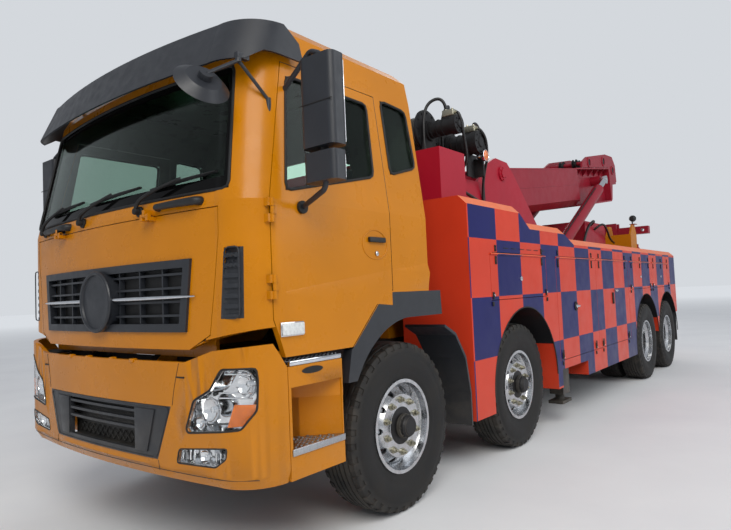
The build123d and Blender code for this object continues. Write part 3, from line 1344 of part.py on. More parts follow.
# Underlift: folded arm, its extension and the cross bar
def make_underlift():
    with BuildPart() as arm:
        with BuildSketch(plan_plane(FOLD_Z - 120)):
            with Locations((0, (ARM_FRONT + ARM_REAR) / 2)):
                Rectangle(2 * ARM_HALF, ARM_REAR - ARM_FRONT)
                Rectangle(2 * ARM_HALF - 40, ARM_REAR - ARM_FRONT - 40, mode=Mode.SUBTRACT)
        extrude(amount=ARM_TOP - FOLD_Z + 120)
        inner_front, inner_rear = ARM_FRONT + 20 + SWING_GAP, ARM_REAR - 20 - SWING_GAP
        add(block((-80, 80), (ARM_FRONT + 10, inner_front - RUN_GAP), (ARM_TOP - 180, ARM_TOP - 20)))
        add(block((-80, 80), (inner_rear + RUN_GAP, ARM_REAR - 10), (ARM_TOP - 180, ARM_TOP - 20)))
        add(bar_x(FOLD_Y, FOLD_Z, PIN_R + 25, -ARM_HALF, ARM_HALF))
        add(bar_x(FOLD_Y, FOLD_Z, PIN_R + PIN_FIT, -ARM_HALF - 1, ARM_HALF + 1), mode=Mode.SUBTRACT)
    save(arm, "underlift_arm")
    clear = 20 + SWING_GAP
    half = ARM_HALF - clear
    front, rear = ARM_FRONT + clear, ARM_REAR - clear
    with BuildPart() as inner:
        add(block((-half, half), (front, rear), (900, ARM_TOP - 10)))
        add(block((-half, half), (front, front + 40), (ARM_TOP - 20, LIFT_TOP)))
        add(block((-half, half), (rear - 40, rear), (ARM_TOP - 20, LIFT_TOP)))
        with BuildSketch(front_plane(rear - 20)):
            with Locations((0, BAR_Z)):
                Circle(SWIVEL_R)
        extrude(amount=rear - front - 40)
    save(inner, "underlift_extension")
    with BuildPart() as bar:
        add(block((-BAR_HALF, BAR_HALF), (front + 45, rear - 45), (BAR_Z - 72, BAR_Z + 73)))
        with BuildSketch(front_plane(rear)):
            with Locations((0, BAR_Z)):
                Circle(SWIVEL_R + PIN_FIT)
        extrude(amount=rear - front, mode=Mode.SUBTRACT)
        with BuildSketch(front_plane(rear)):
            with Locations((-SOCKET_X, BAR_Z), (SOCKET_X, BAR_Z)):
                Circle(SOCKET_R)
        extrude(amount=rear - front, mode=Mode.SUBTRACT)
    save(bar, "cross_bar")


make_wheels()
make_chassis()
make_engine()
make_front_axles()
make_knuckles()
make_rear_axles()
cab_outer, cab_inner = make_cab()
make_glass()
make_grille(cab_outer, cab_inner)
make_bumper()
make_cab_trim(cab_outer)
make_visor()
make_mirrors()
make_interior()
make_seats()
make_steering_wheel()
make_mudguards()
make_side_bodies()
make_mast()
make_winches()
make_boom()
make_cylinders()
make_deck()
make_legs()
make_underlift()
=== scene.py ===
"""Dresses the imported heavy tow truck: paints its parts and adds tread, trim, lamps and hoses."""

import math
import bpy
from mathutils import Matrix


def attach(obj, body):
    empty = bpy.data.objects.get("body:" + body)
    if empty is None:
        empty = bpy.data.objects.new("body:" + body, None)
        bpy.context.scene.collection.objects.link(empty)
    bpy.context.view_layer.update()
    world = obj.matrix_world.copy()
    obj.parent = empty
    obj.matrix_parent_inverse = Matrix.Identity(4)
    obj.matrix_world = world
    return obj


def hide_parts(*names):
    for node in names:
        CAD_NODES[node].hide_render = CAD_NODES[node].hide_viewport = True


bl_info = {
    "name": "Tow truck finish",
    "version": (1, 0, 0),
    "blender": (4, 5, 0),
    "location": "View3D > Sidebar > Truck",
    "description": "Paints and dresses the packed parts of a heavy tow truck",
    "category": "Object",
}

import bpy
from mathutils import Matrix, Vector

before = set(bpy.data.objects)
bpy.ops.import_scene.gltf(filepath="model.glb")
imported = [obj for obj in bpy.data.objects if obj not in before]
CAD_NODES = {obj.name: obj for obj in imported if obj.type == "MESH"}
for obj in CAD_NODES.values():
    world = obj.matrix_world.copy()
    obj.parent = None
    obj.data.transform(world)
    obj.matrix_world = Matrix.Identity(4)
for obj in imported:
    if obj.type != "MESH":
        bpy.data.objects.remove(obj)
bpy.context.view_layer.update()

FRONT_AXLE = -3.805
AXLES = {1: 0.0, 2: 1.8, 3: 6.1, 4: 7.45}
HUB_HEIGHT = 0.5425
TYRE_RADIUS = 0.5425
CAB_HALF_WIDTH = 1.245
BELT_HEIGHT = 1.9
ROOF_RISE = 0.8
BUMPER_BOW_HALF = 1.0
BUMPER_CORNER = 0.245
BOOM_PIVOT = (3.1, 2.72)
BOOM_LEAN = math.radians(8)
SIDES = (("left", 1), ("right", -1))


def srgb(red, green, blue):
    """A paint colour written as 0 to 255, in the linear values that shaders use."""
    parts = []
    for value in (red, green, blue):
        part = value / 255
        parts.append(part / 12.92 if part <= 0.04045 else ((part + 0.055) / 1.055) ** 2.4)
    return tuple(parts)


def at(x, y, z):
    """A point with y counted rearward from the first axle."""
    return Vector((x, FRONT_AXLE + y, z))


class TruckColours(bpy.types.PropertyGroup):
    cab: bpy.props.FloatVectorProperty(
        name="Cab paint", description="Ochre yellow of the cab, doors and bumper",
        subtype="COLOR", size=3, min=0, max=1, default=srgb(196, 121, 0))
    check_warm: bpy.props.FloatVectorProperty(
        name="Warm squares", description="Orange-red squares of the side bodies",
        subtype="COLOR", size=3, min=0, max=1, default=srgb(206, 60, 34))
    check_cool: bpy.props.FloatVectorProperty(
        name="Blue squares", description="Navy squares of the side bodies",
        subtype="COLOR", size=3, min=0, max=1, default=srgb(13, 18, 90))
    cap: bpy.props.FloatVectorProperty(
        name="Body caps", description="Light orange of the side bodies' sloping top edges",
        subtype="COLOR", size=3, min=0, max=1, default=srgb(232, 116, 66))
    boom: bpy.props.FloatVectorProperty(
        name="Boom paint", description="Deep red of the boom, mast and underlift",
        subtype="COLOR", size=3, min=0, max=1, default=srgb(146, 26, 44))
    tower: bpy.props.FloatVectorProperty(
        name="Tower paint", description="Crimson of the winch tower",
        subtype="COLOR", size=3, min=0, max=1, default=srgb(168, 20, 44))
    trim: bpy.props.FloatVectorProperty(
        name="Dark trim", description="Slate grey of the visor, grille and flares",
        subtype="COLOR", size=3, min=0, max=1, default=srgb(38, 41, 47))


class TruckSizes(bpy.types.PropertyGroup):
    square: bpy.props.FloatProperty(
        name="Square", description="Width of one painted square", unit="LENGTH", default=0.463, min=0.1)
    first_square: bpy.props.FloatProperty(
        name="First square", description="Where the first full square starts, behind the first axle",
        unit="LENGTH", default=0.818)
    tread_depth: bpy.props.FloatProperty(
        name="Tread depth", description="Depth of the tyres' grooves",
        unit="LENGTH", default=0.013, min=0.002)
    nut_circle: bpy.props.FloatProperty(
        name="Nut circle", description="Radius of the circle of wheel nuts", unit="LENGTH", default=0.1675)
    crown: bpy.props.FloatProperty(
        name="Seat crown", description="How far the cushions swell", unit="LENGTH", default=0.02, min=0)


def colours():
    return bpy.context.scene.truck_colours


def sizes():
    return bpy.context.scene.truck_sizes


class Finish:
    """One procedural material, built socket by socket."""

    def __init__(self, name):
        self.material = bpy.data.materials.new(name)
        self.material.use_nodes = True
        self.tree = self.material.node_tree
        self.tree.nodes.clear()
        out = self.add("ShaderNodeOutputMaterial")
        self.shader = self.add("ShaderNodeBsdfPrincipled")
        self.tree.links.new(self.shader.outputs[0], out.inputs[0])
        self.places = self.add("ShaderNodeTexCoord")
        self.split = self.add("ShaderNodeSeparateXYZ")
        self.tree.links.new(self.places.outputs["Object"], self.split.inputs[0])

    def add(self, kind):
        return self.tree.nodes.new(kind)

    def feed(self, value, socket):
        if isinstance(value, bpy.types.NodeSocket):
            self.tree.links.new(value, socket)
        else:
            socket.default_value = value

    def sums(self, operation, *values):
        node = self.add("ShaderNodeMath")
        node.operation = operation
        for index, value in enumerate(values):
            self.feed(value, node.inputs[index])
        return node.outputs[0]

    def axis(self, letter):
        return self.split.outputs[letter]

    def normal(self, letter):
        split = self.add("ShaderNodeSeparateXYZ")
        self.tree.links.new(self.places.outputs["Normal"], split.inputs[0])
        return split.outputs[letter]

    def noise(self, scale, detail=4.0, rough=0.55, stretch=None):
        node = self.add("ShaderNodeTexNoise")
        node.inputs["Scale"].default_value = scale
        node.inputs["Detail"].default_value = detail
        node.inputs["Roughness"].default_value = rough
        source = self.places.outputs["Object"]
        if stretch:
            mapping = self.add("ShaderNodeMapping")
            mapping.inputs["Scale"].default_value = stretch
            self.tree.links.new(source, mapping.inputs[0])
            source = mapping.outputs[0]
        self.tree.links.new(source, node.inputs["Vector"])
        return node.outputs["Fac"]

    def spread(self, value, low, high, to_low=0.0, to_high=1.0):
        node = self.add("ShaderNodeMapRange")
        self.feed(value, node.inputs[0])
        for index, number in enumerate((low, high, to_low, to_high), start=1):
            node.inputs[index].default_value = number
        return node.outputs[0]

    def blend(self, share, first, second):
        node = self.add("ShaderNodeMix")
        node.data_type = "RGBA"
        self.feed(share, node.inputs[0])
        for value, socket in ((first, node.inputs[6]), (second, node.inputs[7])):
            self.feed(value if isinstance(value, bpy.types.NodeSocket) else (*value[:3], 1.0), socket)
        return node.outputs[2]

    def base(self, value):
        socket = self.shader.inputs["Base Color"]
        if isinstance(value, bpy.types.NodeSocket):
            self.tree.links.new(value, socket)
        else:
            socket.default_value = (*value[:3], 1.0)

    def set(self, **values):
        for name, value in values.items():
            self.feed(value, self.shader.inputs[name.replace("_", " ")])

    def relief(self, height, strength=0.3, distance=0.002):
        node = self.add("ShaderNodeBump")
        node.inputs["Strength"].default_value = strength
        node.inputs["Distance"].default_value = distance
        self.feed(height, node.inputs["Height"])
        self.tree.links.new(node.outputs[0], self.shader.inputs["Normal"])

    def radius(self, axle):
        """Distance from an axle line."""
        back = self.sums("SUBTRACT", self.axis("Y"), FRONT_AXLE + AXLES[axle])
        up = self.sums("SUBTRACT", self.axis("Z"), HUB_HEIGHT)
        square = self.sums("ADD", self.sums("MULTIPLY", back, back), self.sums("MULTIPLY", up, up))
        return self.sums("SQRT", square)

    def both(self, *values):
        result = values[0]
        for value in values[1:]:
            result = self.sums("MULTIPLY", result, value)
        return result


def faded(colour, share):
    return tuple(part * share for part in colour)


DUST = srgb(126, 118, 104)


def road_dust(mat, colour, reach, most):
    """Dust that thickens towards the road."""
    low = mat.spread(mat.axis("Z"), reach, 0.25, 0.0, 1.0)
    patch = mat.spread(mat.noise(5.0, 6.0, 0.65), 0.35, 0.7, 0.15, 1.0)
    return mat.blend(mat.both(low, patch, most), colour, DUST)


def clouded(mat, colour, share, scale=1.7):
    """The colour with soft, slightly darker patches."""
    return mat.blend(mat.spread(mat.noise(scale, 3.0), 0.3, 0.7), colour, faded(colour, share))


def enamel(mat, rough, coat=0.1, shine=0.24):
    """The sheen and the faint orange peel of sprayed paint."""
    mat.set(Roughness=mat.spread(mat.noise(9.0, 5.0), 0.3, 0.75, rough, rough + 0.14))
    mat.set(Coat_Weight=coat, Coat_Roughness=0.12, Specular_IOR_Level=shine)
    mat.relief(mat.noise(420.0, 2.0), 0.05, 0.0004)
    return mat.material


def gloss_paint(name, colour, rough, dusty):
    mat = Finish(name)
    mat.base(road_dust(mat, clouded(mat, colour, 0.88), 1.1, dusty))
    return enamel(mat, rough)


def deck_paint(name, colour):
    """Deck yellow, with the outboard leg guides in black."""
    mat = Finish(name)
    tone = clouded(mat, colour, 0.88)
    outboard = mat.sums("GREATER_THAN", mat.sums("ABSOLUTE", mat.axis("X")), 0.9)
    low = mat.sums("LESS_THAN", mat.axis("Z"), 1.15)
    ahead = mat.sums("LESS_THAN", mat.axis("Y"), 0.5)
    tone = mat.blend(mat.both(outboard, low, ahead), tone, srgb(28, 28, 30))
    mat.base(road_dust(mat, tone, 1.1, 0.4))
    return enamel(mat, 0.34, 0.0, 0.3)


def lined_paint(name, colour):
    """Cab paint outside; faces turned to the cab's middle are lining, and its floor is dark below."""
    mat = Finish(name)
    tone = clouded(mat, colour, 0.88)
    back = mat.sums("SUBTRACT", mat.axis("Y"), FRONT_AXLE - 0.58)
    rise = mat.sums("SUBTRACT", mat.axis("Z"), 2.0)
    facing = mat.sums("ADD", mat.both(mat.normal("X"), mat.axis("X"), 1.2), mat.sums(
        "ADD", mat.both(mat.normal("Y"), back, 0.8), mat.both(mat.normal("Z"), rise, 0.9)))
    upper = mat.spread(mat.axis("Z"), 1.90, 1.94)
    lining = mat.blend(upper, srgb(28, 28, 30), srgb(104, 100, 96))
    tone = mat.blend(mat.sums("LESS_THAN", facing, 0.0), tone, lining)
    under = mat.both(mat.sums("LESS_THAN", mat.axis("Z"), 1.15), mat.sums("LESS_THAN", mat.normal("Z"), -0.5))
    tone = mat.blend(under, tone, srgb(26, 26, 27))
    mat.base(road_dust(mat, tone, 1.1, 0.22))
    return enamel(mat, 0.24)


SQUARE_ROWS = (1.802, 1.339, 0.864, 0.419)


def checker_paint(name, warm, cool, cap):
    """Squares in columns along the side and in rows from the roof down, with the low arch walls and
    undersides painted near-black as shade.
    """
    mat = Finish(name)
    step = sizes().square
    start = FRONT_AXLE + sizes().first_square
    column = mat.sums("FLOOR", mat.sums("DIVIDE", mat.sums("SUBTRACT", mat.axis("Y"), start), step))
    row = 0.0
    for level in SQUARE_ROWS:
        row = mat.sums("ADD", mat.sums("LESS_THAN", mat.axis("Z"), level), row)
    parity = mat.sums("FLOORED_MODULO", mat.sums("ADD", column, row), 2.0)
    second = clouded(mat, warm, 0.9, 2.1)
    squares = mat.blend(parity, clouded(mat, cool, 0.85, 2.1), second)
    front = mat.sums("GREATER_THAN", mat.sums("ABSOLUTE", mat.normal("Y")), 0.9)
    squares = mat.blend(front, squares, second)
    inner = mat.sums("LESS_THAN", mat.sums("ABSOLUTE", mat.axis("X")), 1.215)
    under = mat.sums("LESS_THAN", mat.sums("ABSOLUTE", mat.normal("X")), 0.3)
    inside = mat.both(inner, mat.sums("SUBTRACT", 1.0, front))
    squares = mat.blend(inside, squares, srgb(150, 152, 150))
    slope = mat.both(
        mat.sums("GREATER_THAN", mat.normal("Z"), 0.3),
        mat.sums("LESS_THAN", mat.normal("Z"), 0.97))
    squares = mat.blend(slope, squares, cap)
    top = mat.sums("GREATER_THAN", mat.normal("Z"), 0.97)
    high = mat.sums("GREATER_THAN", mat.axis("Z"), 1.78)
    squares = mat.blend(mat.both(top, high), squares, faded(cap, 0.75))
    # Painted shade: low faces that face neither sideways nor straight ahead, such as the arch walls and
    # undersides, go near-black.
    below = mat.both(under, mat.sums("LESS_THAN", mat.axis("Z"), 1.25), mat.sums("SUBTRACT", 1.0, front))
    squares = mat.blend(below, squares, srgb(30, 30, 32))
    mat.base(road_dust(mat, squares, 0.9, 0.16))
    mat.set(Roughness=mat.spread(mat.noise(7.0, 5.0), 0.3, 0.75, 0.28, 0.44))
    mat.set(Coat_Weight=0.08, Coat_Roughness=0.15, Specular_IOR_Level=0.2)
    mat.relief(mat.noise(380.0, 2.0), 0.05, 0.0004)
    return mat.material


def satin_plastic(name, colour, rough=0.5, grain=900.0):
    mat = Finish(name)
    cloud = mat.spread(mat.noise(6.0, 4.0), 0.3, 0.7)
    mat.base(road_dust(mat, mat.blend(cloud, colour, faded(colour, 0.8)), 1.0, 0.3))
    mat.set(Roughness=mat.spread(mat.noise(14.0, 4.0), 0.3, 0.7, rough - 0.06, rough + 0.1))
    mat.relief(mat.noise(grain, 2.0), 0.12, 0.0005)
    return mat.material


def black_steel(name, colour=srgb(26, 26, 28), rough=0.5):
    mat = Finish(name)
    rust = mat.spread(mat.noise(11.0, 8.0, 0.7), 0.62, 0.72)
    tone = mat.blend(mat.both(rust, 0.35), colour, srgb(84, 52, 36))
    mat.base(road_dust(mat, tone, 1.1, 0.5))
    mat.set(Roughness=mat.spread(mat.noise(20.0, 5.0), 0.3, 0.7, rough - 0.05, rough + 0.25))
    mat.set(Metallic=0.2)
    mat.relief(mat.noise(260.0, 4.0), 0.25, 0.0008)
    return mat.material


def bright_metal(name, colour=srgb(205, 207, 210), rough=0.16, brushed=None):
    mat = Finish(name)
    haze = mat.spread(mat.noise(18.0, 6.0, 0.6, brushed), 0.3, 0.75)
    mat.base(mat.blend(haze, colour, faded(colour, 0.78)))
    mat.set(Metallic=1.0)
    mat.set(Roughness=mat.spread(mat.noise(30.0, 5.0, 0.6, brushed), 0.3, 0.75, rough, rough + 0.16))
    return mat.material


def rim_metal(name, axle):
    """Polished face, dark hub and a grimy drum, by distance from the axle."""
    mat = Finish(name)
    distance = mat.radius(axle)
    turned = mat.sums("SINE", mat.sums("MULTIPLY", distance, 2600.0))
    grime = mat.spread(mat.noise(22.0, 6.0, 0.7), 0.4, 0.72)
    alloy = mat.blend(mat.both(grime, 0.4), srgb(206, 208, 211), srgb(120, 116, 108))
    hub = mat.sums("LESS_THAN", distance, 0.1195)
    inward = mat.sums("LESS_THAN", mat.sums("ABSOLUTE", mat.axis("X")), 0.93 if axle < 3 else 0.9)
    drum = mat.both(inward, mat.sums("LESS_THAN", distance, 0.2065))
    dark = mat.sums("MAXIMUM", hub, drum)
    mat.base(mat.blend(dark, alloy, srgb(34, 33, 34)))
    mat.set(Metallic=mat.spread(dark, 0.0, 1.0, 1.0, 0.3))
    mat.set(Roughness=mat.sums("ADD", mat.spread(dark, 0.0, 1.0, 0.2, 0.5), mat.both(grime, 0.16)))
    mat.relief(turned, 0.05, 0.0002)
    return mat.material


def tyre_rubber(name, axle):
    mat = Finish(name)
    distance = mat.radius(axle)
    rings = mat.sums("SINE", mat.sums("MULTIPLY", distance, 900.0))
    near_bead = mat.both(
        mat.sums("GREATER_THAN", distance, 0.31), mat.sums("LESS_THAN", distance, 0.35))
    fine = mat.sums("ADD", mat.both(rings, near_bead), mat.both(mat.noise(320.0, 3.0), 0.4))
    dust = mat.spread(mat.noise(9.0, 6.0, 0.7), 0.35, 0.75)
    tread = mat.spread(distance, 0.47, 0.54)
    share = mat.sums("ADD", mat.both(dust, 0.14), mat.both(tread, dust, 0.4))
    mat.base(mat.blend(share, srgb(20, 20, 21), srgb(98, 92, 84)))
    mat.set(Roughness=mat.spread(dust, 0.0, 1.0, 0.58, 0.85))
    mat.set(Specular_IOR_Level=0.35)
    mat.relief(fine, 0.35, 0.001)
    return mat.material


def window_pane(name, tint, edge=False):
    """Tinted glass; the windscreen gets its black border and green sun band."""
    mat = Finish(name)
    if edge:
        front = mat.sums("LESS_THAN", mat.axis("Y"), FRONT_AXLE - 0.93)
        half = mat.spread(mat.axis("Z"), 1.96, 2.64, 1.085, 1.0)
        side = mat.sums("SUBTRACT", half, mat.sums("ABSOLUTE", mat.axis("X")))
        low = mat.sums("SUBTRACT", mat.axis("Z"), 1.965)
        high = mat.sums("SUBTRACT", 2.635, mat.axis("Z"))
        rim = mat.sums("MINIMUM", mat.sums("MINIMUM", side, high), mat.sums("SUBTRACT", low, 0.025))
        frit = mat.both(front, mat.sums("LESS_THAN", rim, 0.038))
        band = mat.both(front, mat.spread(mat.axis("Z"), 2.47, 2.53))
        tone = mat.blend(mat.both(band, 0.8), tint, srgb(70, 140, 96))
        mat.base(mat.blend(frit, tone, (0.004, 0.004, 0.004)))
        mat.set(Transmission_Weight=mat.spread(frit, 0.0, 1.0, 1.0, 0.0))
    else:
        mat.base(tint)
        mat.set(Transmission_Weight=1.0)
    mat.set(Roughness=mat.spread(mat.noise(6.0, 4.0), 0.4, 0.8, 0.0, 0.04))
    mat.set(IOR=1.18)
    return mat.material


def lamp_glass(name, colour=(1.0, 1.0, 1.0), rough=0.03):
    mat = Finish(name)
    mat.base(colour)
    mat.set(Transmission_Weight=1.0, IOR=1.2)
    mat.set(Roughness=mat.spread(mat.noise(40.0, 3.0), 0.4, 0.8, rough, rough + 0.05))
    return mat.material


def colour_lens(name, colour):
    mat = Finish(name)
    ribs = mat.sums("SINE", mat.sums("MULTIPLY", mat.axis("Z"), 1500.0))
    mat.base(mat.blend(mat.spread(mat.noise(60.0), 0.3, 0.7), colour, faded(colour, 0.7)))
    mat.set(Roughness=mat.spread(mat.noise(30.0), 0.3, 0.7, 0.08, 0.16))
    mat.set(Coat_Weight=0.8)
    mat.relief(ribs, 0.3, 0.0006)
    return mat.material


def seat_cloth(name, colour):
    mat = Finish(name)
    weave = mat.sums("MULTIPLY",
                     mat.sums("SINE", mat.sums("MULTIPLY", mat.axis("X"), 1800.0)),
                     mat.sums("SINE", mat.sums("MULTIPLY", mat.axis("Z"), 1800.0)))
    mat.base(mat.blend(mat.spread(mat.noise(12.0, 5.0), 0.3, 0.7), colour, faded(colour, 0.65)))
    mat.set(Roughness=mat.spread(mat.noise(40.0), 0.3, 0.7, 0.8, 0.95))
    mat.set(Sheen_Weight=0.3)
    mat.relief(weave, 0.3, 0.0006)
    return mat.material


def wound_rope(name):
    """Steel rope laid in turns along X, the grooves between turns painted dark as shade and the crests
    painted light as highlight.
    """
    mat = Finish(name)
    turns = mat.sums("SINE", mat.sums("MULTIPLY", mat.axis("X"), 330.0))
    lay = mat.sums("SINE", mat.sums("ADD", mat.sums("MULTIPLY", mat.axis("X"), 1600.0),
                                    mat.sums("MULTIPLY", mat.axis("Z"), 900.0)))
    # Painted shade and highlight: the colour follows the turns, dark in the grooves and light on the crests.
    mat.base(mat.blend(mat.spread(turns, -0.6, 0.6), srgb(38, 36, 34), srgb(132, 126, 116)))
    mat.set(Metallic=0.8)
    mat.set(Roughness=mat.spread(mat.noise(50.0), 0.3, 0.7, 0.35, 0.55))
    mat.relief(mat.sums("ADD", turns, mat.both(lay, 0.3)), 0.9, 0.006)
    return mat.material


MATERIALS = {}


def make_materials():
    tones = colours()
    MATERIALS.update(
        cab=gloss_paint("cab_gloss_ochre", tones.cab, 0.24, 0.22),
        check=checker_paint("body_squares", tones.check_warm, tones.check_cool, tones.cap),
        boom=gloss_paint("boom_deep_red", tones.boom, 0.32, 0.2),
        tower=gloss_paint("tower_crimson", tones.tower, 0.3, 0.2),
        deck=deck_paint("deck_yellow", faded(tones.cab, 0.95)),
        trim=satin_plastic("trim_slate", tones.trim, 0.42),
        plastic=satin_plastic("black_plastic", srgb(24, 25, 27), 0.5),
        rubber=satin_plastic("black_rubber", srgb(16, 16, 17), 0.62, 500.0),
        steel=black_steel("satin_black_steel"),
        iron=black_steel("cast_dark_iron", srgb(46, 46, 48), 0.62),
        hose=satin_plastic("hydraulic_hose", srgb(20, 20, 21), 0.4, 300.0),
        chrome=bright_metal("polished_chrome", srgb(226, 228, 232), 0.05),
        mirror=bright_metal("mirror_silver", srgb(232, 234, 236), 0.03),
        cab_skin=lined_paint("cab_lined_ochre", tones.cab),
        alloy=bright_metal("worn_aluminium", srgb(188, 190, 193), 0.24, (1.0, 12.0, 1.0)),
        zinc=bright_metal("zinc_fittings", srgb(172, 168, 150), 0.34),
        pane=window_pane("tinted_window", srgb(176, 196, 186)),
        screen=window_pane("windscreen_glass", srgb(176, 196, 186), True),
        lens=lamp_glass("clear_lens"),
        amber=colour_lens("amber_lens", srgb(236, 120, 20)),
        red_lens=colour_lens("red_lens", srgb(190, 20, 20)),
        white_lens=colour_lens("white_lens", srgb(225, 228, 228)),
        inner=satin_plastic("cab_inner_grey", srgb(96, 92, 86), 0.6),
        cloth=seat_cloth("seat_cloth_grey", srgb(58, 58, 66)),
        rope=wound_rope("winch_rope"),
    )
    for axle in AXLES:
        MATERIALS[f"rim_{axle}"] = rim_metal(f"rim_metal_{axle}", axle)
        MATERIALS[f"tyre_{axle}"] = tyre_rubber(f"tyre_rubber_{axle}", axle)


def fresh():
    """Leaves edit mode with nothing selected."""
    if bpy.context.object and bpy.context.object.mode != "OBJECT":
        bpy.ops.object.mode_set(mode="OBJECT")
    bpy.ops.object.select_all(action="DESELECT")


def take(piece):
    fresh()
    piece.select_set(True)
    bpy.context.view_layer.objects.active = piece


def settle(piece):
    """Puts the piece's place, turn and size into its mesh."""
    take(piece)
    bpy.ops.object.transform_apply(location=True, rotation=True, scale=True)
    return piece


def edit(piece, mode="FACE"):
    take(piece)
    bpy.ops.object.mode_set(mode="EDIT")
    bpy.ops.mesh.select_mode(type=mode)
    bpy.ops.mesh.select_all(action="DESELECT")


def edit_all(piece, mode="FACE"):
    edit(piece, mode)
    bpy.ops.mesh.select_all(action="SELECT")


def pick_faces(piece, test):
    """Selects the faces whose centre and normal pass the test, from object mode into edit mode."""
    edit(piece)
    bpy.ops.object.mode_set(mode="OBJECT")
    for face in piece.data.polygons:
        face.select = bool(test(face.center, face.normal))
    bpy.ops.object.mode_set(mode="EDIT")


def soften(piece, width, segments=2, angle=35):
    take(piece)
    rounding = piece.modifiers.new("Rounded edges", "BEVEL")
    rounding.width = width
    rounding.segments = segments
    rounding.limit_method = "ANGLE"
    rounding.angle_limit = math.radians(angle)
    bpy.ops.object.modifier_apply(modifier=rounding.name)
    return piece


def outward(piece):
    edit_all(piece)
    bpy.ops.mesh.remove_doubles(threshold=0.00005)
    bpy.ops.mesh.normals_make_consistent(inside=False)
    bpy.ops.object.mode_set(mode="OBJECT")
    return piece


def slab(low, high, rounding=0.004, segments=2):
    """A box between two corners, its edges rounded."""
    low, high = Vector(low), Vector(high)
    fresh()
    bpy.ops.mesh.primitive_cube_add(size=1, location=(low + high) / 2)
    piece = bpy.context.object
    piece.scale = high - low
    settle(piece)
    return soften(piece, rounding, segments) if rounding else piece


def bar(start, end, radius, sides=20, rounding=0.0015):
    """A round bar from one point to another."""
    start, end = Vector(start), Vector(end)
    run = end - start
    fresh()
    bpy.ops.mesh.primitive_cylinder_add(
        vertices=sides, radius=radius, depth=run.length, location=(start + end) / 2,
        rotation=run.to_track_quat("Z", "Y").to_euler())
    piece = settle(bpy.context.object)
    return soften(piece, rounding, 2, 50) if rounding else piece


def drawn(points):
    """A chain of edges through the points, drawn by extruding one vertex."""
    points = [Vector(point) for point in points]
    fresh()
    bpy.ops.mesh.primitive_plane_add(size=0.01, location=points[0])
    piece = settle(bpy.context.object)
    edit_all(piece, "VERT")
    bpy.ops.mesh.merge(type="CENTER")
    for start, end in zip(points, points[1:]):
        bpy.ops.mesh.extrude_region_move(TRANSFORM_OT_translate={"value": end - start})
    return piece


def plate(points, push, rounding=0.003, segments=2):
    """A flat outline pushed out into a plate."""
    piece = drawn(points)
    bpy.ops.mesh.select_all(action="SELECT")
    bpy.ops.mesh.edge_face_add()
    bpy.ops.mesh.extrude_region_move(TRANSFORM_OT_translate={"value": Vector(push)})
    bpy.ops.object.mode_set(mode="OBJECT")
    outward(piece)
    return soften(piece, rounding, segments) if rounding else piece


def ribbon(points, push, thick, rounding=0.001):
    """A strip along a chain of points, given its thickness by Solidify."""
    piece = drawn(points)
    bpy.ops.mesh.select_all(action="SELECT")
    bpy.ops.mesh.extrude_region_move(TRANSFORM_OT_translate={"value": Vector(push)})
    bpy.ops.object.mode_set(mode="OBJECT")
    wall = piece.modifiers.new("Wall", "SOLIDIFY")
    wall.thickness = thick
    wall.offset = 0
    bpy.ops.object.modifier_apply(modifier=wall.name)
    outward(piece)
    return soften(piece, rounding, 1, 50) if rounding else piece


def turned(points, centre, axis, steps):
    """An outline spun once round an axis."""
    piece = drawn(points)
    bpy.ops.mesh.select_all(action="SELECT")
    bpy.ops.mesh.spin(steps=steps, angle=math.tau, center=centre, axis=axis)
    bpy.ops.object.mode_set(mode="OBJECT")
    return outward(piece)


def revolved(centre, axis, rows, steps, sign=1):
    """A turned piece, from rows that give the distance along its axis and the radius."""
    run = Vector(axis) * sign
    lift = Vector((0, 0, 1))
    return turned([centre + run * along + lift * radius for along, radius in rows], centre, axis, steps)


def stud(start, length, radius, sides=6, rounding=0.001):
    """A short bar that stands out sideways from its start."""
    return bar(start, Vector(start) + Vector((length, 0, 0)), radius, sides, rounding)


def hose(points, radius, sides=3, closed=False, widths=None):
    """A bent hose or tube along a smooth line, made a mesh."""
    curve = bpy.data.curves.new("hose", "CURVE")
    curve.dimensions = "3D"
    curve.bevel_depth = radius
    curve.bevel_resolution = sides
    curve.use_fill_caps = True
    line = curve.splines.new("NURBS")
    line.points.add(len(points) - 1)
    for index, (point, place) in enumerate(zip(line.points, points)):
        point.co = (*place, 1)
        point.radius = widths[index] if widths else 1.0
    line.order_u = 3
    line.use_endpoint_u = not closed
    line.use_cyclic_u = closed
    line.resolution_u = 8 if len(points) < 12 else 2
    piece = bpy.data.objects.new("hose", curve)
    bpy.context.collection.objects.link(piece)
    take(piece)
    bpy.ops.object.convert(target="MESH")
    return bpy.context.object


def dense(outline, step):
    """A closed outline with more points along its edges."""
    points = []
    for (u, v), (to_u, to_v) in zip(outline, outline[1:] + outline[:1]):
        count = max(1, round(math.hypot(to_u - u, to_v - v) / step))
        points += [(u + (to_u - u) * part / count, v + (to_v - v) * part / count) for part in range(count)]
    return points


def bumper_skin(x):
    """Front face of the bumper, its rounded corners included."""
    x = abs(x)
    if x <= BUMPER_BOW_HALF:
        return FRONT_AXLE - 1.43 + fallen_back(x, BUMPER_BOW_HALF, 0.065)
    reach = min(x - BUMPER_BOW_HALF, BUMPER_CORNER - 0.0001)
    return FRONT_AXLE - 1.12 - math.sqrt(BUMPER_CORNER ** 2 - reach ** 2)


def on_skin(outline, skin, behind, size=1.0):
    """An outline seen from the front, laid on a skin and set back a little."""
    middle_x = sum(x for x, z in outline) / len(outline)
    middle_z = sum(z for x, z in outline) / len(outline)
    sized = [(middle_x + (x - middle_x) * size, middle_z + (z - middle_z) * size) for x, z in outline]
    return [Vector((x, skin(x) + behind, z)) for x, z in dense(sized, 0.03)]


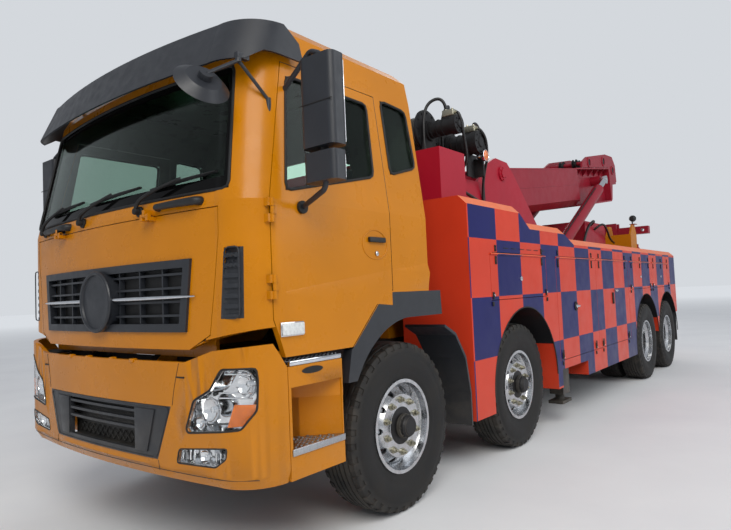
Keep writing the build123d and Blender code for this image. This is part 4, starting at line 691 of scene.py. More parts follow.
def tray(loop, push, shrink):
    """An open tray: its rim follows the loop, its floor is pushed back and drawn in."""
    piece = drawn(loop)
    bpy.ops.mesh.select_all(action="SELECT")
    bpy.ops.mesh.edge_face_add()
    bpy.ops.mesh.extrude_region_move(TRANSFORM_OT_translate={"value": Vector(push)})
    middle = sum((Vector(point) for point in loop), Vector()) / len(loop) + Vector(push)
    bpy.ops.transform.resize(value=shrink, center_override=middle)
    bpy.ops.object.mode_set(mode="OBJECT")
    edit(piece)
    bpy.ops.object.mode_set(mode="OBJECT")
    front = [face for face in piece.data.polygons if len(face.vertices) > 4]
    front.sort(key=lambda face: face.center.y)
    front[0].select = True
    bpy.ops.object.mode_set(mode="EDIT")
    bpy.ops.mesh.delete(type="ONLY_FACE")
    bpy.ops.mesh.select_all(action="SELECT")
    bpy.ops.mesh.normals_make_consistent(inside=False)
    bpy.ops.object.mode_set(mode="OBJECT")
    wall = piece.modifiers.new("Wall", "SOLIDIFY")
    wall.thickness = 0.0015
    wall.offset = 0
    bpy.ops.object.modifier_apply(modifier=wall.name)
    return outward(piece)


def dish(centre, radius, depth):
    """A round reflector with its bulb cap, open towards the front."""
    bowl = revolved(centre, (0, 1, 0), (
        (0.0, radius), (depth * 0.45, radius * 0.86), (depth * 0.85, radius * 0.5), (depth, radius * 0.24),
        (depth * 0.2, radius * 0.22), (depth * 0.12, radius * 0.12), (depth * 0.10, 0.0)), 40)
    shell = revolved(centre, (0, 1, 0), (
        (0.002, radius), (depth * 0.5, radius * 0.88), (depth + 0.004, radius * 0.5),
        (depth + 0.004, 0.0)), 40)
    return joined([bowl, shell])


def lofted(first, second):
    """A wedge between two three-cornered sections."""
    piece = drawn(first)
    bpy.ops.mesh.select_all(action="SELECT")
    bpy.ops.mesh.edge_face_add()
    bpy.ops.mesh.extrude_region_move(TRANSFORM_OT_translate={"value": (0, 0.001, 0)})
    bpy.ops.object.mode_set(mode="OBJECT")
    points = piece.data.vertices
    half = len(first)
    for index, place in enumerate(second):
        near = min(points[half:], key=lambda point: (point.co - first[index] - Vector((0, 0.001, 0))).length)
        near.co = place
    return outward(piece)


def joined(pieces):
    """The pieces as one mesh."""
    fresh()
    for piece in pieces:
        piece.select_set(True)
    bpy.context.view_layer.objects.active = pieces[0]
    if len(pieces) > 1:
        bpy.ops.object.join()
    return bpy.context.view_layer.objects.active


def moved_copy(piece, shift=(0, 0, 0), turn=None):
    """A copy with its own mesh, moved and turned in place."""
    take(piece)
    bpy.ops.object.duplicate(linked=False)
    copy = bpy.context.object
    copy.matrix_world = Matrix.Translation(Vector(shift)) @ (turn or Matrix.Identity(4)) @ copy.matrix_world
    return settle(copy)


def other_side(piece):
    """A copy mirrored to the vehicle's other side, turned right side out."""
    take(piece)
    bpy.ops.object.duplicate(linked=False)
    copy = bpy.context.object
    copy.scale.x = -1
    settle(copy)
    edit_all(copy)
    bpy.ops.mesh.normals_make_consistent(inside=False)
    bpy.ops.object.mode_set(mode="OBJECT")
    return copy


def around(piece, count, centre, axis="X"):
    """The piece and its copies, evenly round an axis."""
    centre = Vector(centre)
    ring = [piece]
    for index in range(1, count):
        turn = (Matrix.Translation(centre) @ Matrix.Rotation(math.tau * index / count, 4, axis)
                @ Matrix.Translation(-centre))
        ring.append(moved_copy(piece, turn=turn))
    return joined(ring)


def dress(piece, name, finish, body, slot, smooth=40):
    """Names a finished piece, paints it and lets it ride on its body."""
    take(piece)
    bpy.ops.object.shade_smooth_by_angle(angle=math.radians(smooth))
    piece.name = name
    piece.data.name = name
    piece.data.materials.clear()
    piece.data.materials.append(MATERIALS[finish])
    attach(piece, body)
    return piece


def repaint(finish, *names):
    for name in names:
        for slot in CAD_NODES[name].material_slots:
            slot.material = MATERIALS[finish]


def fallen_back(x, half, rise):
    """How far an arc with that half width and rise has fallen back at a place across."""
    bow = (half * half + rise * rise) / (2 * rise)
    return bow - math.sqrt(bow * bow - x * x)


def nose_y(x, z):
    """Front face of the cab at a place across and up."""
    if z < BELT_HEIGHT:
        nose, half = -1.40 + 0.005 * (z - 1.11) / 0.79, 1.0
    else:
        share = (z - BELT_HEIGHT) / ROOF_RISE
        nose, half = -1.395 + 0.155 * share, 1.0 - 0.1 * share
    return FRONT_AXLE + nose + fallen_back(x, half, 0.07)


def side_x(z):
    """Outer skin of the cab's side at a height."""
    lean = 0.095 * max(z - BELT_HEIGHT, 0) / ROOF_RISE
    return CAB_HALF_WIDTH - lean


class TRUCK_OT_paint(bpy.types.Operator):
    """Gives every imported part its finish"""
    bl_idname = "truck.paint"
    bl_label = "Paint the packed parts"

    def execute(self, context):
        make_materials()
        repaint("cab_skin", "cab_shell", "door_left", "door_right")
        repaint("cab", "front_lid", "bumper")
        repaint("check", "side_bodies", "locker_lids_left", "locker_lids_right",
                "locker_doors_left", "locker_doors_right")
        repaint("boom", "boom_outer", "boom_inner", "cylinder_barrels", "underlift_arm",
                "underlift_extension", "cross_bar")
        repaint("tower", "mast")
        repaint("deck", "deck_frame")
        repaint("steel", "chassis_frame", "leg_left", "leg_right", "winches")
        repaint("iron", "engine_block", "front_axles", "rear_axles")
        repaint("trim", "grille", "bumper_grille", "cab_trim", "sun_visor", "mudguards",
                "mirror_left", "mirror_right")
        repaint("inner", "cab_interior")
        repaint("plastic", "steering_wheel")
        repaint("chrome", "cylinder_rods")
        repaint("screen", "cab_glass")
        repaint("pane", "door_glass_left", "door_glass_right")
        repaint("lens", "lamps")
        repaint("cloth", "seats")
        for axle in AXLES:
            for side, _ in SIDES:
                repaint(f"rim_{axle}", f"rim_{axle}_{side}")
                repaint(f"tyre_{axle}", f"tyre_{axle}_{side}")
                if axle < 3:
                    repaint("iron", f"knuckle_{axle}_{side}")
        return {"FINISHED"}


SINGLE_TYRE = (1.025,)
TWIN_TYRES = (1.097, 0.752)
TREAD_STEPS = 80
BLOCK_PITCH = 9.0


def tyre_outline():
    """Outer section of a tyre from bead to bead: width across, radius up, with its grooves."""
    deep = TYRE_RADIUS - sizes().tread_depth
    shoulder = [
        (-0.1125, 0.2865), (-0.118, 0.300), (-0.124, 0.318), (-0.131, 0.330), (-0.133, 0.345),
        (-0.1405, 0.370), (-0.1475, 0.405), (-0.1470, 0.440), (-0.1425, 0.468), (-0.139, 0.474),
        (-0.138, 0.498), (-0.133, 0.520), (-0.126, 0.533),
    ]
    tread = []
    crown = ((-0.126, 0.533), (-0.086, 0.5385), (-0.048, 0.5408), (-0.012, 0.5418))
    for index, (x, r) in enumerate(crown):
        if index:
            tread += [(x - 0.0085, r), (x - 0.006, deep), (x, deep), (x + 0.0025, r)]
    half = shoulder + tread
    return half + [(-x, r) for x, r in reversed(half)]


class TRUCK_OT_tyres(bpy.types.Operator):
    """Models the treaded tyres and sets them in place of the plain ones"""
    bl_idname = "truck.tyres"
    bl_label = "Treaded tyres"

    def execute(self, context):
        for axle, back in AXLES.items():
            centre = at(0, back, HUB_HEIGHT)
            places = SINGLE_TYRE if axle < 3 else TWIN_TYRES
            ring = revolved(centre, (1, 0, 0), tyre_outline(), TREAD_STEPS)
            cut_blocks(ring, centre)
            inner = revolved(centre, (1, 0, 0), (
                (-0.1125, 0.2865), (-0.088, 0.2865), (-0.118, 0.40), (-0.10, 0.49),
                (0.10, 0.49), (0.118, 0.40), (0.088, 0.2865), (0.1125, 0.2865)), 40)
            tyre = joined([ring, inner])
            for side, sign in SIDES:
                piece = joined([moved_copy(tyre, shift=(sign * x, 0, 0)) for x in places])
                dress(piece, f"treaded_tyre_{axle}_{side}", f"tyre_{axle}", f"wheel_{axle}_{side}",
                      "tyre_rubber", 32)
                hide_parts(f"tyre_{axle}_{side}")
            fresh()
            bpy.data.objects.remove(tyre)
        return {"FINISHED"}


def cut_blocks(ring, centre):
    """Sinks every other short face of the shoulder ribs, which leaves blocks."""
    def shoulder(place, normal):
        radial = Vector((0, place.y - centre.y, place.z - centre.z))
        if not 0.506 < radial.length < 0.5415 or not 0.09 < abs(place.x) < 0.139:
            return False
        turn = math.degrees(math.atan2(radial.z, radial.y)) % BLOCK_PITCH
        return turn < BLOCK_PITCH / 2

    pick_faces(ring, shoulder)
    bpy.ops.mesh.inset(thickness=0.004, depth=-0.007)
    bpy.ops.object.mode_set(mode="OBJECT")


WHEEL_NUTS = 10


class TRUCK_OT_wheels(bpy.types.Operator):
    """Adds wheel nuts and hub caps to the rims"""
    bl_idname = "truck.wheels"
    bl_label = "Wheel nuts and hub caps"

    def execute(self, context):
        for axle, back in AXLES.items():
            centre = at(0, back, HUB_HEIGHT)
            face = 1.132 if axle < 3 else 0.9365
            circle = sizes().nut_circle
            angle = math.tau / WHEEL_NUTS / 2
            spot = centre + Vector((face, math.cos(angle) * circle, math.sin(angle) * circle))
            nut = stud(spot, 0.024, 0.017, 6, 0.0025)
            washer = stud(spot - Vector((0.001, 0, 0)), 0.007, 0.023, 16, 0.001)
            bolt = stud(spot, 0.036, 0.0095, 10, 0.0015)
            nuts = around(joined([nut, washer, bolt]), WHEEL_NUTS, centre)
            for side, sign in SIDES:
                piece = moved_copy(nuts) if sign > 0 else other_side(nuts)
                dress(piece, f"wheel_nuts_{axle}_{side}", "zinc", f"wheel_{axle}_{side}", "rim_metal", 30)
            bpy.data.objects.remove(nuts)
            if axle < 3:
                outline = ((1.150, 0.0), (1.150, 0.080), (1.170, 0.078), (1.176, 0.066), (1.205, 0.060),
                           (1.2095, 0.050), (1.2095, 0.030), (1.206, 0.026), (1.206, 0.0))
            else:
                outline = ((1.12, 0.0), (1.12, 0.092), (1.140, 0.090), (1.146, 0.070), (1.163, 0.064),
                           (1.1665, 0.052), (1.1665, 0.034), (1.163, 0.03), (1.163, 0.0))
            cap = revolved(centre, (1, 0, 0), outline, 40)
            first = centre + Vector((outline[3][0] - 0.012, 0.071, 0))
            cap = joined([cap, around(stud(first, 0.016, 0.006), 8, centre)])
            for side, sign in SIDES:
                piece = moved_copy(cap) if sign > 0 else other_side(cap)
                dress(piece, f"hub_cap_{axle}_{side}", "steel", f"wheel_{axle}_{side}", "rim_metal", 35)
            bpy.data.objects.remove(cap)
        return {"FINISHED"}


def side_loop(outline):
    """An outline seen from the side, laid on the cab's side skin."""
    return [at(side_x(z) + 0.001, y, z) for y, z in dense(outline, 0.08)]


def ellipse(y, z, half_y, half_z, x, count=36):
    turns = [math.tau * step / count for step in range(count)]
    return [at(x, y + half_y * math.cos(turn), z + half_z * math.sin(turn)) for turn in turns]


def pair(piece):
    """The piece and its mirror image as one mesh."""
    return joined([piece, other_side(piece)])


def put(piece, sign, *finish):
    """Dresses the piece on its own side of the truck."""
    if sign < 0:
        copy = other_side(piece)
        bpy.data.objects.remove(piece)
        piece = copy
    return dress(piece, *finish)


def strap(y, low, high):
    """A flat hinge leaf with two bolts on the side bodies."""
    parts = [slab(at(1.2502, y - 0.015, low), at(1.2565, y + 0.015, high), 0.0018)]
    for z in (low + 0.012, high - 0.012):
        parts.append(stud(at(1.2560, y, z), 0.004, 0.0065))
    return parts


def latch(y, z):
    """A pull latch: its base on the leaf, and its lever."""
    return [
        slab(at(1.2502, y - 0.016, z), at(1.2580, y + 0.016, z + 0.062), 0.002),
        slab(at(1.2575, y - 0.009, z + 0.006), at(1.2670, y + 0.009, z + 0.090), 0.0035),
    ]


def on_boom(x, u, v):
    """A point at a distance along the boom and square to it."""
    along, square = math.cos(BOOM_LEAN), math.sin(BOOM_LEAN)
    y, z = BOOM_PIVOT
    return at(x, y + u * along - v * square, z + u * square + v * along)


def sheave(centre, radius, width, bore=0.03):
    """A grooved wheel that turns on a bar across the truck."""
    half = width / 2
    rows = ((-half, bore), (-half, radius), (-half + 0.012, radius + 0.004), (-0.010, radius - 0.028),
            (0.010, radius - 0.028), (half - 0.012, radius + 0.004), (half, radius), (half, bore))
    return revolved(centre, (1, 0, 0), rows, 40)


HEADLAMP = ((1.057, 1.073), (1.200, 1.074), (1.204, 1.016), (1.199, 0.872), (1.145, 0.786),
            (0.817, 0.750), (0.802, 0.767), (0.861, 0.913), (0.977, 0.969))
AMBER_CELL = ((1.100, 0.902), (1.190, 0.900), (1.190, 0.876), (1.143, 0.800), (1.062, 0.792))
FOG_LAMP = ((0.745, 0.664), (1.078, 0.698), (1.071, 0.646), (1.005, 0.601), (0.727, 0.592))
REAR_FACE = FRONT_AXLE + 8.1803


class TRUCK_OT_lamps(bpy.types.Operator):
    """Fits reflectors, amber cells and gaskets behind the lenses, and the side and rear lamps"""
    bl_idname = "truck.lamps"
    bl_label = "Lamps"

    def execute(self, context):
        bowls = [
            tray(on_skin(HEADLAMP, bumper_skin, 0.0262, 0.985), (0, 0.085, 0), (0.94, 1, 0.9)),
            tray(on_skin(FOG_LAMP, bumper_skin, 0.0262, 0.98), (0, 0.06, 0), (0.9, 1, 0.8)),
        ]
        for x, y, z, radius, depth in (
            (1.118, -1.252, 0.992, 0.066, 0.028), (0.950, -1.335, 0.868, 0.064, 0.03),
            (0.872, -1.342, 0.800, 0.036, 0.02), (0.905, -1.345, 0.640, 0.038, 0.025),
        ):
            bowls.append(dish(at(x, y, z), radius, depth))
        for z in (0.93, 0.955, 1.045):
            start, end = (Vector((x, bumper_skin(x) + 0.034, z)) for x in (1.01, 1.17))
            bowls.append(bar(start, end, 0.004, 10, 0))
        for x in (0.80, 0.83, 0.98, 1.01, 1.04):
            y = bumper_skin(x) + 0.034
            bowls.append(bar((x, y, 0.612), (x, y, 0.665), 0.004, 10, 0))
        dress(pair(joined(bowls)), "lamp_reflectors", "mirror", "chassis", "rod_chrome", 30)
        cell = plate(on_skin(AMBER_CELL, bumper_skin, 0.0275), (0, 0.006, 0), 0.001, 1)
        dress(pair(cell), "turn_lamp_cells", "amber", "chassis", "lamp_lens")
        gaskets = [
            hose(on_skin(HEADLAMP, bumper_skin, 0.001), 0.0055, 2, closed=True),
            hose(on_skin(FOG_LAMP, bumper_skin, 0.001), 0.004, 2, closed=True),
        ]
        dress(pair(joined(gaskets)), "lamp_gaskets", "rubber", "chassis", "dark_plastic")
        self.side_lamps()
        self.rear_lamps()
        self.work_lamp()
        return {"FINISHED"}

    def side_lamps(self):
        for side, sign in SIDES:
            foot = slab(at(1.2453, -1.136, 1.2115), at(1.2500, -0.976, 1.2825), 0.002)
            glass = slab(at(1.2500, -1.131, 1.2165), at(1.2620, -0.981, 1.2775), 0.005, 3)
            put(foot, sign, f"marker_base_{side}", "chrome", f"cab_door_{side}", "lamp_lens")
            put(glass, sign, f"marker_lamp_{side}", "white_lens", f"cab_door_{side}", "lamp_lens")

    def rear_lamps(self):
        back = REAR_FACE + 0.0425
        case = joined([
            slab((0.778, REAR_FACE, 0.928), (1.162, back, 0.936), 0.001, 1),
            slab((0.778, REAR_FACE, 1.044), (1.162, back, 1.052), 0.001, 1),
            slab((0.776, REAR_FACE, 0.928), (0.784, back, 1.052), 0.001, 1),
            slab((1.156, REAR_FACE, 0.928), (1.164, back, 1.052), 0.001, 1),
            slab((0.780, REAR_FACE + 0.0418, 0.930), (1.160, REAR_FACE + 0.0450, 1.050), 0.001, 1),
        ])
        dress(pair(case), "rear_lamp_cases", "rubber", "chassis", "dark_plastic")
        face = REAR_FACE + 0.0452
        for name, finish, low, high in (
            ("rear_stop_lamps", "red_lens", 1.040, 1.150),
            ("rear_turn_lamps", "amber", 0.916, 1.030),
            ("rear_reverse_lamps", "white_lens", 0.792, 0.906),
        ):
            glass = slab((low, face, 0.940), (high, face + 0.008, 1.040), 0.003, 3)
            dress(pair(glass), name, finish, "chassis", "lamp_lens")

    def work_lamp(self):
        centre = at(0.782, 2.03, 2.70)
        shell = revolved(centre, (1, 0, 0), (
            (0.0, 0.0), (0.0, 0.030), (0.012, 0.048), (0.030, 0.056), (0.048, 0.058), (0.050, 0.053),
            (0.044, 0.050), (0.020, 0.030), (0.016, 0.0)), 36)
        foot = slab(centre - Vector((0.05, 0.018, 0.018)), centre + Vector((0.004, 0.018, 0.018)), 0.003)
        glass = revolved(centre, (1, 0, 0), (
            (0.046, 0.050), (0.052, 0.044), (0.058, 0.026), (0.060, 0.0)), 36)
        dress(joined([shell, foot]), "work_lamp_shell", "chrome", "chassis", "rod_chrome")
        dress(glass, "work_lamp_lens", "amber", "chassis", "lamp_lens")


BAR_HEIGHT = 1.432
EMBLEM_HEIGHT = 1.425
VENT_OUTLINE = ((1.062, 1.664), (1.153, 1.664), (1.148, 1.316), (1.033, 1.316))
WIPERS = (
    ((0.417, 1.912), (0.450, 1.985), (0.745, 2.052), (0.49, 2.020), (0.99, 2.052)),
    ((-0.225, 1.918), (-0.205, 1.978), (0.110, 2.052), (-0.16, 2.022), (0.38, 2.050)),
    ((-0.865, 1.918), (-0.830, 1.985), (-0.560, 2.056), (-0.82, 2.026), (-0.28, 2.052)),
)


def on_nose(x, z, out):
    """A point that stands out a little from the cab's front."""
    return Vector((x, nose_y(x, z) - out, z))


class TRUCK_OT_front(bpy.types.Operator):
    """Adds the chrome bars, emblem ring, black sheets painted as shade behind the grilles and bumper, wipers
    and grips of the cab's front
    """
    bl_idname = "truck.front"
    bl_label = "Cab front"

    def execute(self, context):
        self.grille()
        self.lower_grille()
        self.bumper_lines()
        self.wipers()
        self.rubbers()
        return {"FINISHED"}

    def grille(self):
        bars = []
        for sign in (1, -1):
            line = [Vector((sign * x, nose_y(x, 1.43) - out, BAR_HEIGHT)) for x, out in (
                (0.168, 0.030), (0.30, 0.029), (0.50, 0.028), (0.70, 0.026), (0.80, 0.022), (0.865, 0.012))]
            bars.append(hose(line, 0.0115, 4, widths=(1.0, 1.0, 0.95, 0.8, 0.6, 0.3)))
        dress(joined(bars), "grille_bars", "chrome", "front_lid", "rod_chrome", 60)
        hub = Vector((0, FRONT_AXLE - 1.4302, EMBLEM_HEIGHT))
        ring = turned([hub + Vector((r, -out, 0)) for r, out in (
            (0.180, 0.0), (0.181, 0.010), (0.176, 0.017), (0.166, 0.019), (0.158, 0.015), (0.154, 0.005),
            (0.148, 0.003), (0.10, 0.006), (0.05, 0.0075), (0.0, 0.008))], hub, (0, 1, 0), 72)
        dress(ring, "emblem_ring", "trim", "front_lid", "dark_plastic", 30)
        # Painted shade: a black sheet behind the louvres stands in for the shaded space behind the grille.
        places = [-0.76 + 0.08 * step for step in range(20)]
        line = [Vector((x, nose_y(x, 1.43) + 0.035, 1.275)) for x in places]
        dress(ribbon(line, (0, 0, 0.325), 0.003, 0), "grille_shade_sheet", "rubber", "front_lid", "dark_plastic")

    def lower_grille(self):
        # Painted shade: a black sheet behind the cross mesh stands in for the shaded inside of the intake.
        places = [-0.44 + 0.088 * step for step in range(11)]
        line = [Vector((x, bumper_skin(x) + 0.066, 0.56)) for x in places]
        parts = [ribbon(line, (0, 0, 0.33), 0.003, 0)]
        for step in range(12):
            x = -0.33 + 0.06 * step
            y = bumper_skin(x) + 0.058
            parts.append(bar((x - 0.03, y, 0.63), (x + 0.03, y, 0.69), 0.003, 6, 0))
            parts.append(bar((x + 0.03, y, 0.63), (x - 0.03, y, 0.69), 0.003, 6, 0))
        parts.append(slab(at(-0.372, -1.400, 0.612), at(0.372, -1.352, 0.624), 0.002))
        dress(joined(parts), "bumper_intake", "rubber", "chassis", "dark_plastic")
        flap = plate([Vector((x, bumper_skin(x) - 0.0004, z)) for x, z in (
            (0.384, 0.848), (0.46, 0.848), (0.560, 0.848), (0.525, 0.73), (0.490, 0.622), (0.44, 0.622),
            (0.384, 0.622))], (0, -0.007, 0), 0.002)
        dress(pair(flap), "bumper_flaps", "trim", "chassis", "dark_plastic")
        edge = [Vector((x, bumper_skin(x) - 0.001, z)) for x, z in dense(
            ((-0.675, 0.866), (0.675, 0.866), (0.566, 0.598), (-0.566, 0.598)), 0.06)]
        lip = hose(edge, 0.005, 2, closed=True)
        dress(lip, "bumper_grille_lip", "trim", "chassis", "dark_plastic")

    def bumper_lines(self):
        # Painted shade: black sheets that stand in for the shaded gaps behind the bumper's top openings and
        # under the cab's floor.
        shade_sheets = [slab(at(low, -1.190, 0.905), at(high, -1.182, 1.096), 0.001, 1)
                   for low, high in ((-0.86, -0.44), (-0.29, 0.29), (0.44, 0.86))]
        shade_sheets += [slab(at(low, -1.395, 1.020), at(high, -1.19, 1.028), 0.001, 1)
                    for low, high in ((-0.80, -0.44), (-0.29, 0.29), (0.44, 0.80))]
        for sign in (1, -1):
            shade_sheets.append(plate([at(sign * x, y, 1.088) for x, y in (
                (0.815, -1.345), (0.980, -1.325), (1.110, -1.280), (1.185, -1.205), (1.185, -1.105),
                (0.815, -1.105))], (0, 0, 0.006), 0.001, 1))
            low, high = (0.285, 0.445) if sign > 0 else (-0.445, -0.285)
            shade_sheets.append(slab(at(low, -1.395, 0.842), at(high, -1.150, 0.850), 0.001, 1))
            shade_sheets.append(slab(at(low, -1.156, 0.845), at(high, -1.150, 1.085), 0.001, 1))
        dress(joined(shade_sheets), "front_shade_sheets", "rubber", "chassis", "dark_plastic")
        bottom = [(x, 0.545) for x in (1.2, 1.12, 1.0, 0.8, 0.6, 0.4, 0.2, 0.0)]
        seams = []
        for line in (
            ((0.702, 0.880), (0.715, 0.95), (0.735, 1.02), (0.760, 1.095)),
            ((0.580, 0.588), (0.585, 0.56), (0.588, 0.54)),
            bottom,
        ):
            seams.append(hose([Vector((x, bumper_skin(x) + 0.0002, z)) for x, z in line], 0.0019, 1))
        dress(pair(joined(seams)), "bumper_seams", "rubber", "chassis", "dark_plastic")
        clips = [slab(at(x - 0.018, -1.428, 1.086), at(x + 0.018, -1.398, 1.108), 0.004)
                 for x in (0.14, 0.36)]
        dress(pair(joined(clips)), "bumper_clips", "cab", "chassis", "cab_paint")

    def wipers(self):
        parts = []
        for pivot, knee, hold, start, end in WIPERS:
            arm = [on_nose(*place, out) for place, out in (
                (pivot, 0.030), (pivot, 0.036), (knee, 0.042), (hold, 0.024), (hold, 0.020))]
            parts.append(hose(arm, 0.0105, 3, widths=(1.1, 1.1, 1.0, 0.75, 0.7)))
            shares = (0, 0.2, 0.4, 0.6, 0.8, 1)
            places = [(start[0] + (end[0] - start[0]) * share, start[1] + (end[1] - start[1]) * share)
                      for share in shares]
            blade = [on_nose(x, z, -0.002) for x, z in places]
            parts.append(ribbon(blade, (0, 0, 0.012), 0.012, 0))
            spine = [point + Vector((0, -0.011 - 0.006 * bend, 0.006))
                     for point, bend in zip(blade, (0, 1, 2, 2, 1, 0))]
            parts.append(hose(spine, 0.0045, 2))
            foot = on_nose(*pivot, 0)
            parts.append(bar(foot + Vector((0, 0.004, 0)), foot + Vector((0, -0.044, 0)), 0.019, 20, 0.006))
            parts.append(bar(foot + Vector((0, 0.004, 0)), foot + Vector((0, -0.016, 0)), 0.030, 24, 0.005))
        dress(joined(parts), "windscreen_wipers", "rubber", "cab", "dark_plastic")
        grips = []
        for low, high in ((0.585, 0.905), (-0.800, -0.430)):
            line = [Vector((x, nose_y(x, 1.915) - out, 1.913)) for x, out in (
                (low, -0.002), (low, 0.022), (low + 0.03, 0.033), ((low + high) / 2, 0.036),
                (high - 0.03, 0.033), (high, 0.022), (high, -0.002))]
            grips.append(hose(line, 0.020, 4, widths=(1.1, 1.0, 0.9, 1.0, 1.1, 1.15, 1.2)))
        dress(joined(grips), "front_grips", "plastic", "cab", "dark_plastic", 60)

    def rubbers(self):
        frame_line = [on_nose(x, z, -0.001) for x, z in dense(
            ((-1.085, 1.960), (-1.000, 2.640), (1.000, 2.640), (1.085, 1.960)), 0.08)]
        rubber = hose(frame_line, 0.009, 3, closed=True)
        dress(rubber, "windscreen_rubber", "rubber", "cab", "dark_plastic", 60)
        rims = []
        for sign in (1, -1):
            line = [Vector((sign * x, nose_y(x, z) - 0.001, z)) for x, z in dense(VENT_OUTLINE, 0.05)]
            rims.append(hose(line, 0.004, 2, closed=True))
        dress(joined(rims), "corner_vent_rims", "trim", "cab", "dark_plastic", 60)


DOOR_WINDOW = ((-1.062, 1.950), (-0.962, 2.590), (-0.275, 2.590), (-0.300, 2.120))
QUARTER_WINDOW = ((-0.115, 2.160), (-0.115, 2.655), (0.160, 2.640), (0.185, 2.245))


class TRUCK_OT_cab_sides(bpy.types.Operator):
    """Adds door handles, creases, window rubbers, step treads and mirror glasses"""
    bl_idname = "truck.cab_sides"
    bl_label = "Cab sides"

    def execute(self, context):
        for side, sign in SIDES:
            self.door(side, sign, f"cab_door_{side}")
        crease = lofted(
            [at(1.2451, -0.178, 1.551), at(1.2580, -0.178, 1.498), at(1.2451, -0.178, 1.425)],
            [at(1.2451, 0.228, 1.594), at(1.2620, 0.228, 1.530), at(1.2451, 0.228, 1.425)])
        dress(pair(crease), "cab_arch_crease", "cab", "cab", "cab_paint")
        quarter = hose(side_loop(QUARTER_WINDOW), 0.0085, 3, closed=True)
        dress(pair(quarter), "quarter_window_rubbers", "rubber", "cab", "dark_plastic", 60)
        sill = slab(at(1.150, -1.085, 1.0625), at(1.2475, -0.695, 1.0875), 0.004)
        dress(pair(sill), "step_sills", "chrome", "chassis", "rod_chrome")
        dress(pair(joined(self.treads())), "step_treads", "alloy", "chassis", "rod_chrome")
        oval = plate(ellipse(-0.922, 1.028, 0.078, 0.018, 1.2451), (0.003, 0, 0), 0.001, 1)
        dress(pair(oval), "step_plugs", "rubber", "chassis", "dark_plastic")
        return {"FINISHED"}

    def door(self, side, sign, body):
        grip = slab(at(1.2452, -0.413, 1.7125), at(1.2655, -0.257, 1.7435), 0.006, 3)
        put(grip, sign, f"door_handle_{side}", "plastic", body, "dark_plastic")
        lock = joined([
            bar(at(1.2495, -0.335, 1.645), at(1.2540, -0.335, 1.645), 0.0145, 24, 0.001),
            slab(at(1.2535, -0.3365, 1.638), at(1.2550, -0.3335, 1.652), 0.0003, 1),
        ])
        put(lock, sign, f"door_lock_{side}", "chrome", body, "rod_chrome")
        pressings = joined([
            hose(ellipse(-0.345, 1.700, 0.120, 0.088, 1.2452), 0.0045, 3, closed=True),
            lofted(
                [at(1.2451, -0.190, 1.549), at(1.2580, -0.190, 1.497), at(1.2451, -0.190, 1.330)],
                [at(1.2451, -1.090, 1.436), at(1.2460, -1.090, 1.430), at(1.2451, -1.090, 1.405)]),
        ])
        put(pressings, sign, f"door_pressings_{side}", "cab", body, "cab_paint")
        rubber = hose(side_loop(DOOR_WINDOW), 0.0085, 3, closed=True)
        put(rubber, sign, f"door_window_rubber_{side}", "rubber", body, "dark_plastic")
        glass = joined([
            slab(at(1.388, -0.9652, 2.150), at(1.572, -0.9615, 2.560), 0.001, 1),
            slab(at(1.392, -0.9702, 1.975), at(1.568, -0.9660, 2.090), 0.001, 1),
        ])
        put(glass, sign, f"mirror_glass_{side}", "mirror", body, "rod_chrome")
        boots = joined([
            bar(at(1.480, -1.020, 2.100), at(1.480, -1.020, 2.135), 0.024, 20, 0.003),
            bar(at(1.480, -1.020, 2.576), at(1.480, -1.020, 2.600), 0.024, 20, 0.003),
            bar(at(1.2455, -0.960, 1.870), at(1.2640, -0.960, 1.870), 0.034, 24, 0.003),
            slab(at(1.3710, -1.078, 2.340), at(1.5890, -1.0752, 2.346), 0.001, 1),
        ])
        put(boots, sign, f"mirror_boots_{side}", "rubber", body, "dark_plastic")

    def treads(self):
        parts = [
            plate([at(x, y, 0.6408) for x, y in (
                (1.246, -1.074), (1.040, -0.900), (1.228, -0.706), (1.246, -0.706))], (0, 0, 0.0122), 0.002),
            slab(at(1.2452, -1.086, 0.618), at(1.2530, -0.690, 0.6530), 0.003),
        ]
        for row in range(9):
            y = -1.045 + 0.040 * row
            inner = 1.238 - (y + 1.078) * 1.17 if y < -0.9 else 1.030 + (y + 0.9) * 1.05
            for column in range(7):
                x = 1.226 - 0.028 * column
                if x > inner + 0.022:
                    parts.append(bar(at(x, y, 0.6528), at(x, y, 0.6590), 0.008, 8, 0.001))
        for row in range(3):
            for column in range(12):
                y, x = -1.06 + 0.032 * column, 1.165 + 0.025 * row
                parts.append(bar(at(x, y, 1.0870), at(x, y, 1.0910), 0.007, 8, 0.001))
        return parts


def solid_copy(node):
    """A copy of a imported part's mesh, its loose triangles merged, free to be reshaped."""
    plain = CAD_NODES[node]
    mesh = plain.data.copy()
    mesh.transform(plain.matrix_world)
    piece = bpy.data.objects.new(f"reshaped_{node}", mesh)
    bpy.context.collection.objects.link(piece)
    edit_all(piece)
    bpy.ops.mesh.remove_doubles(threshold=0.00005)
    bpy.ops.object.mode_set(mode="OBJECT")
    return piece


def pick_corner(piece, corner):
    """Selects the edges that run across the truck at a corner seen from the side."""
    edit(piece, "EDGE")
    bpy.ops.object.mode_set(mode="OBJECT")
    points = piece.data.vertices
    found = 0
    for edge in piece.data.edges:
        ends = [points[index].co for index in edge.vertices]
        if all((Vector((end.y, end.z)) - corner).length < 0.002 for end in ends):
            edge.select = True
            found += 1
    bpy.ops.object.mode_set(mode="EDIT")
    return found


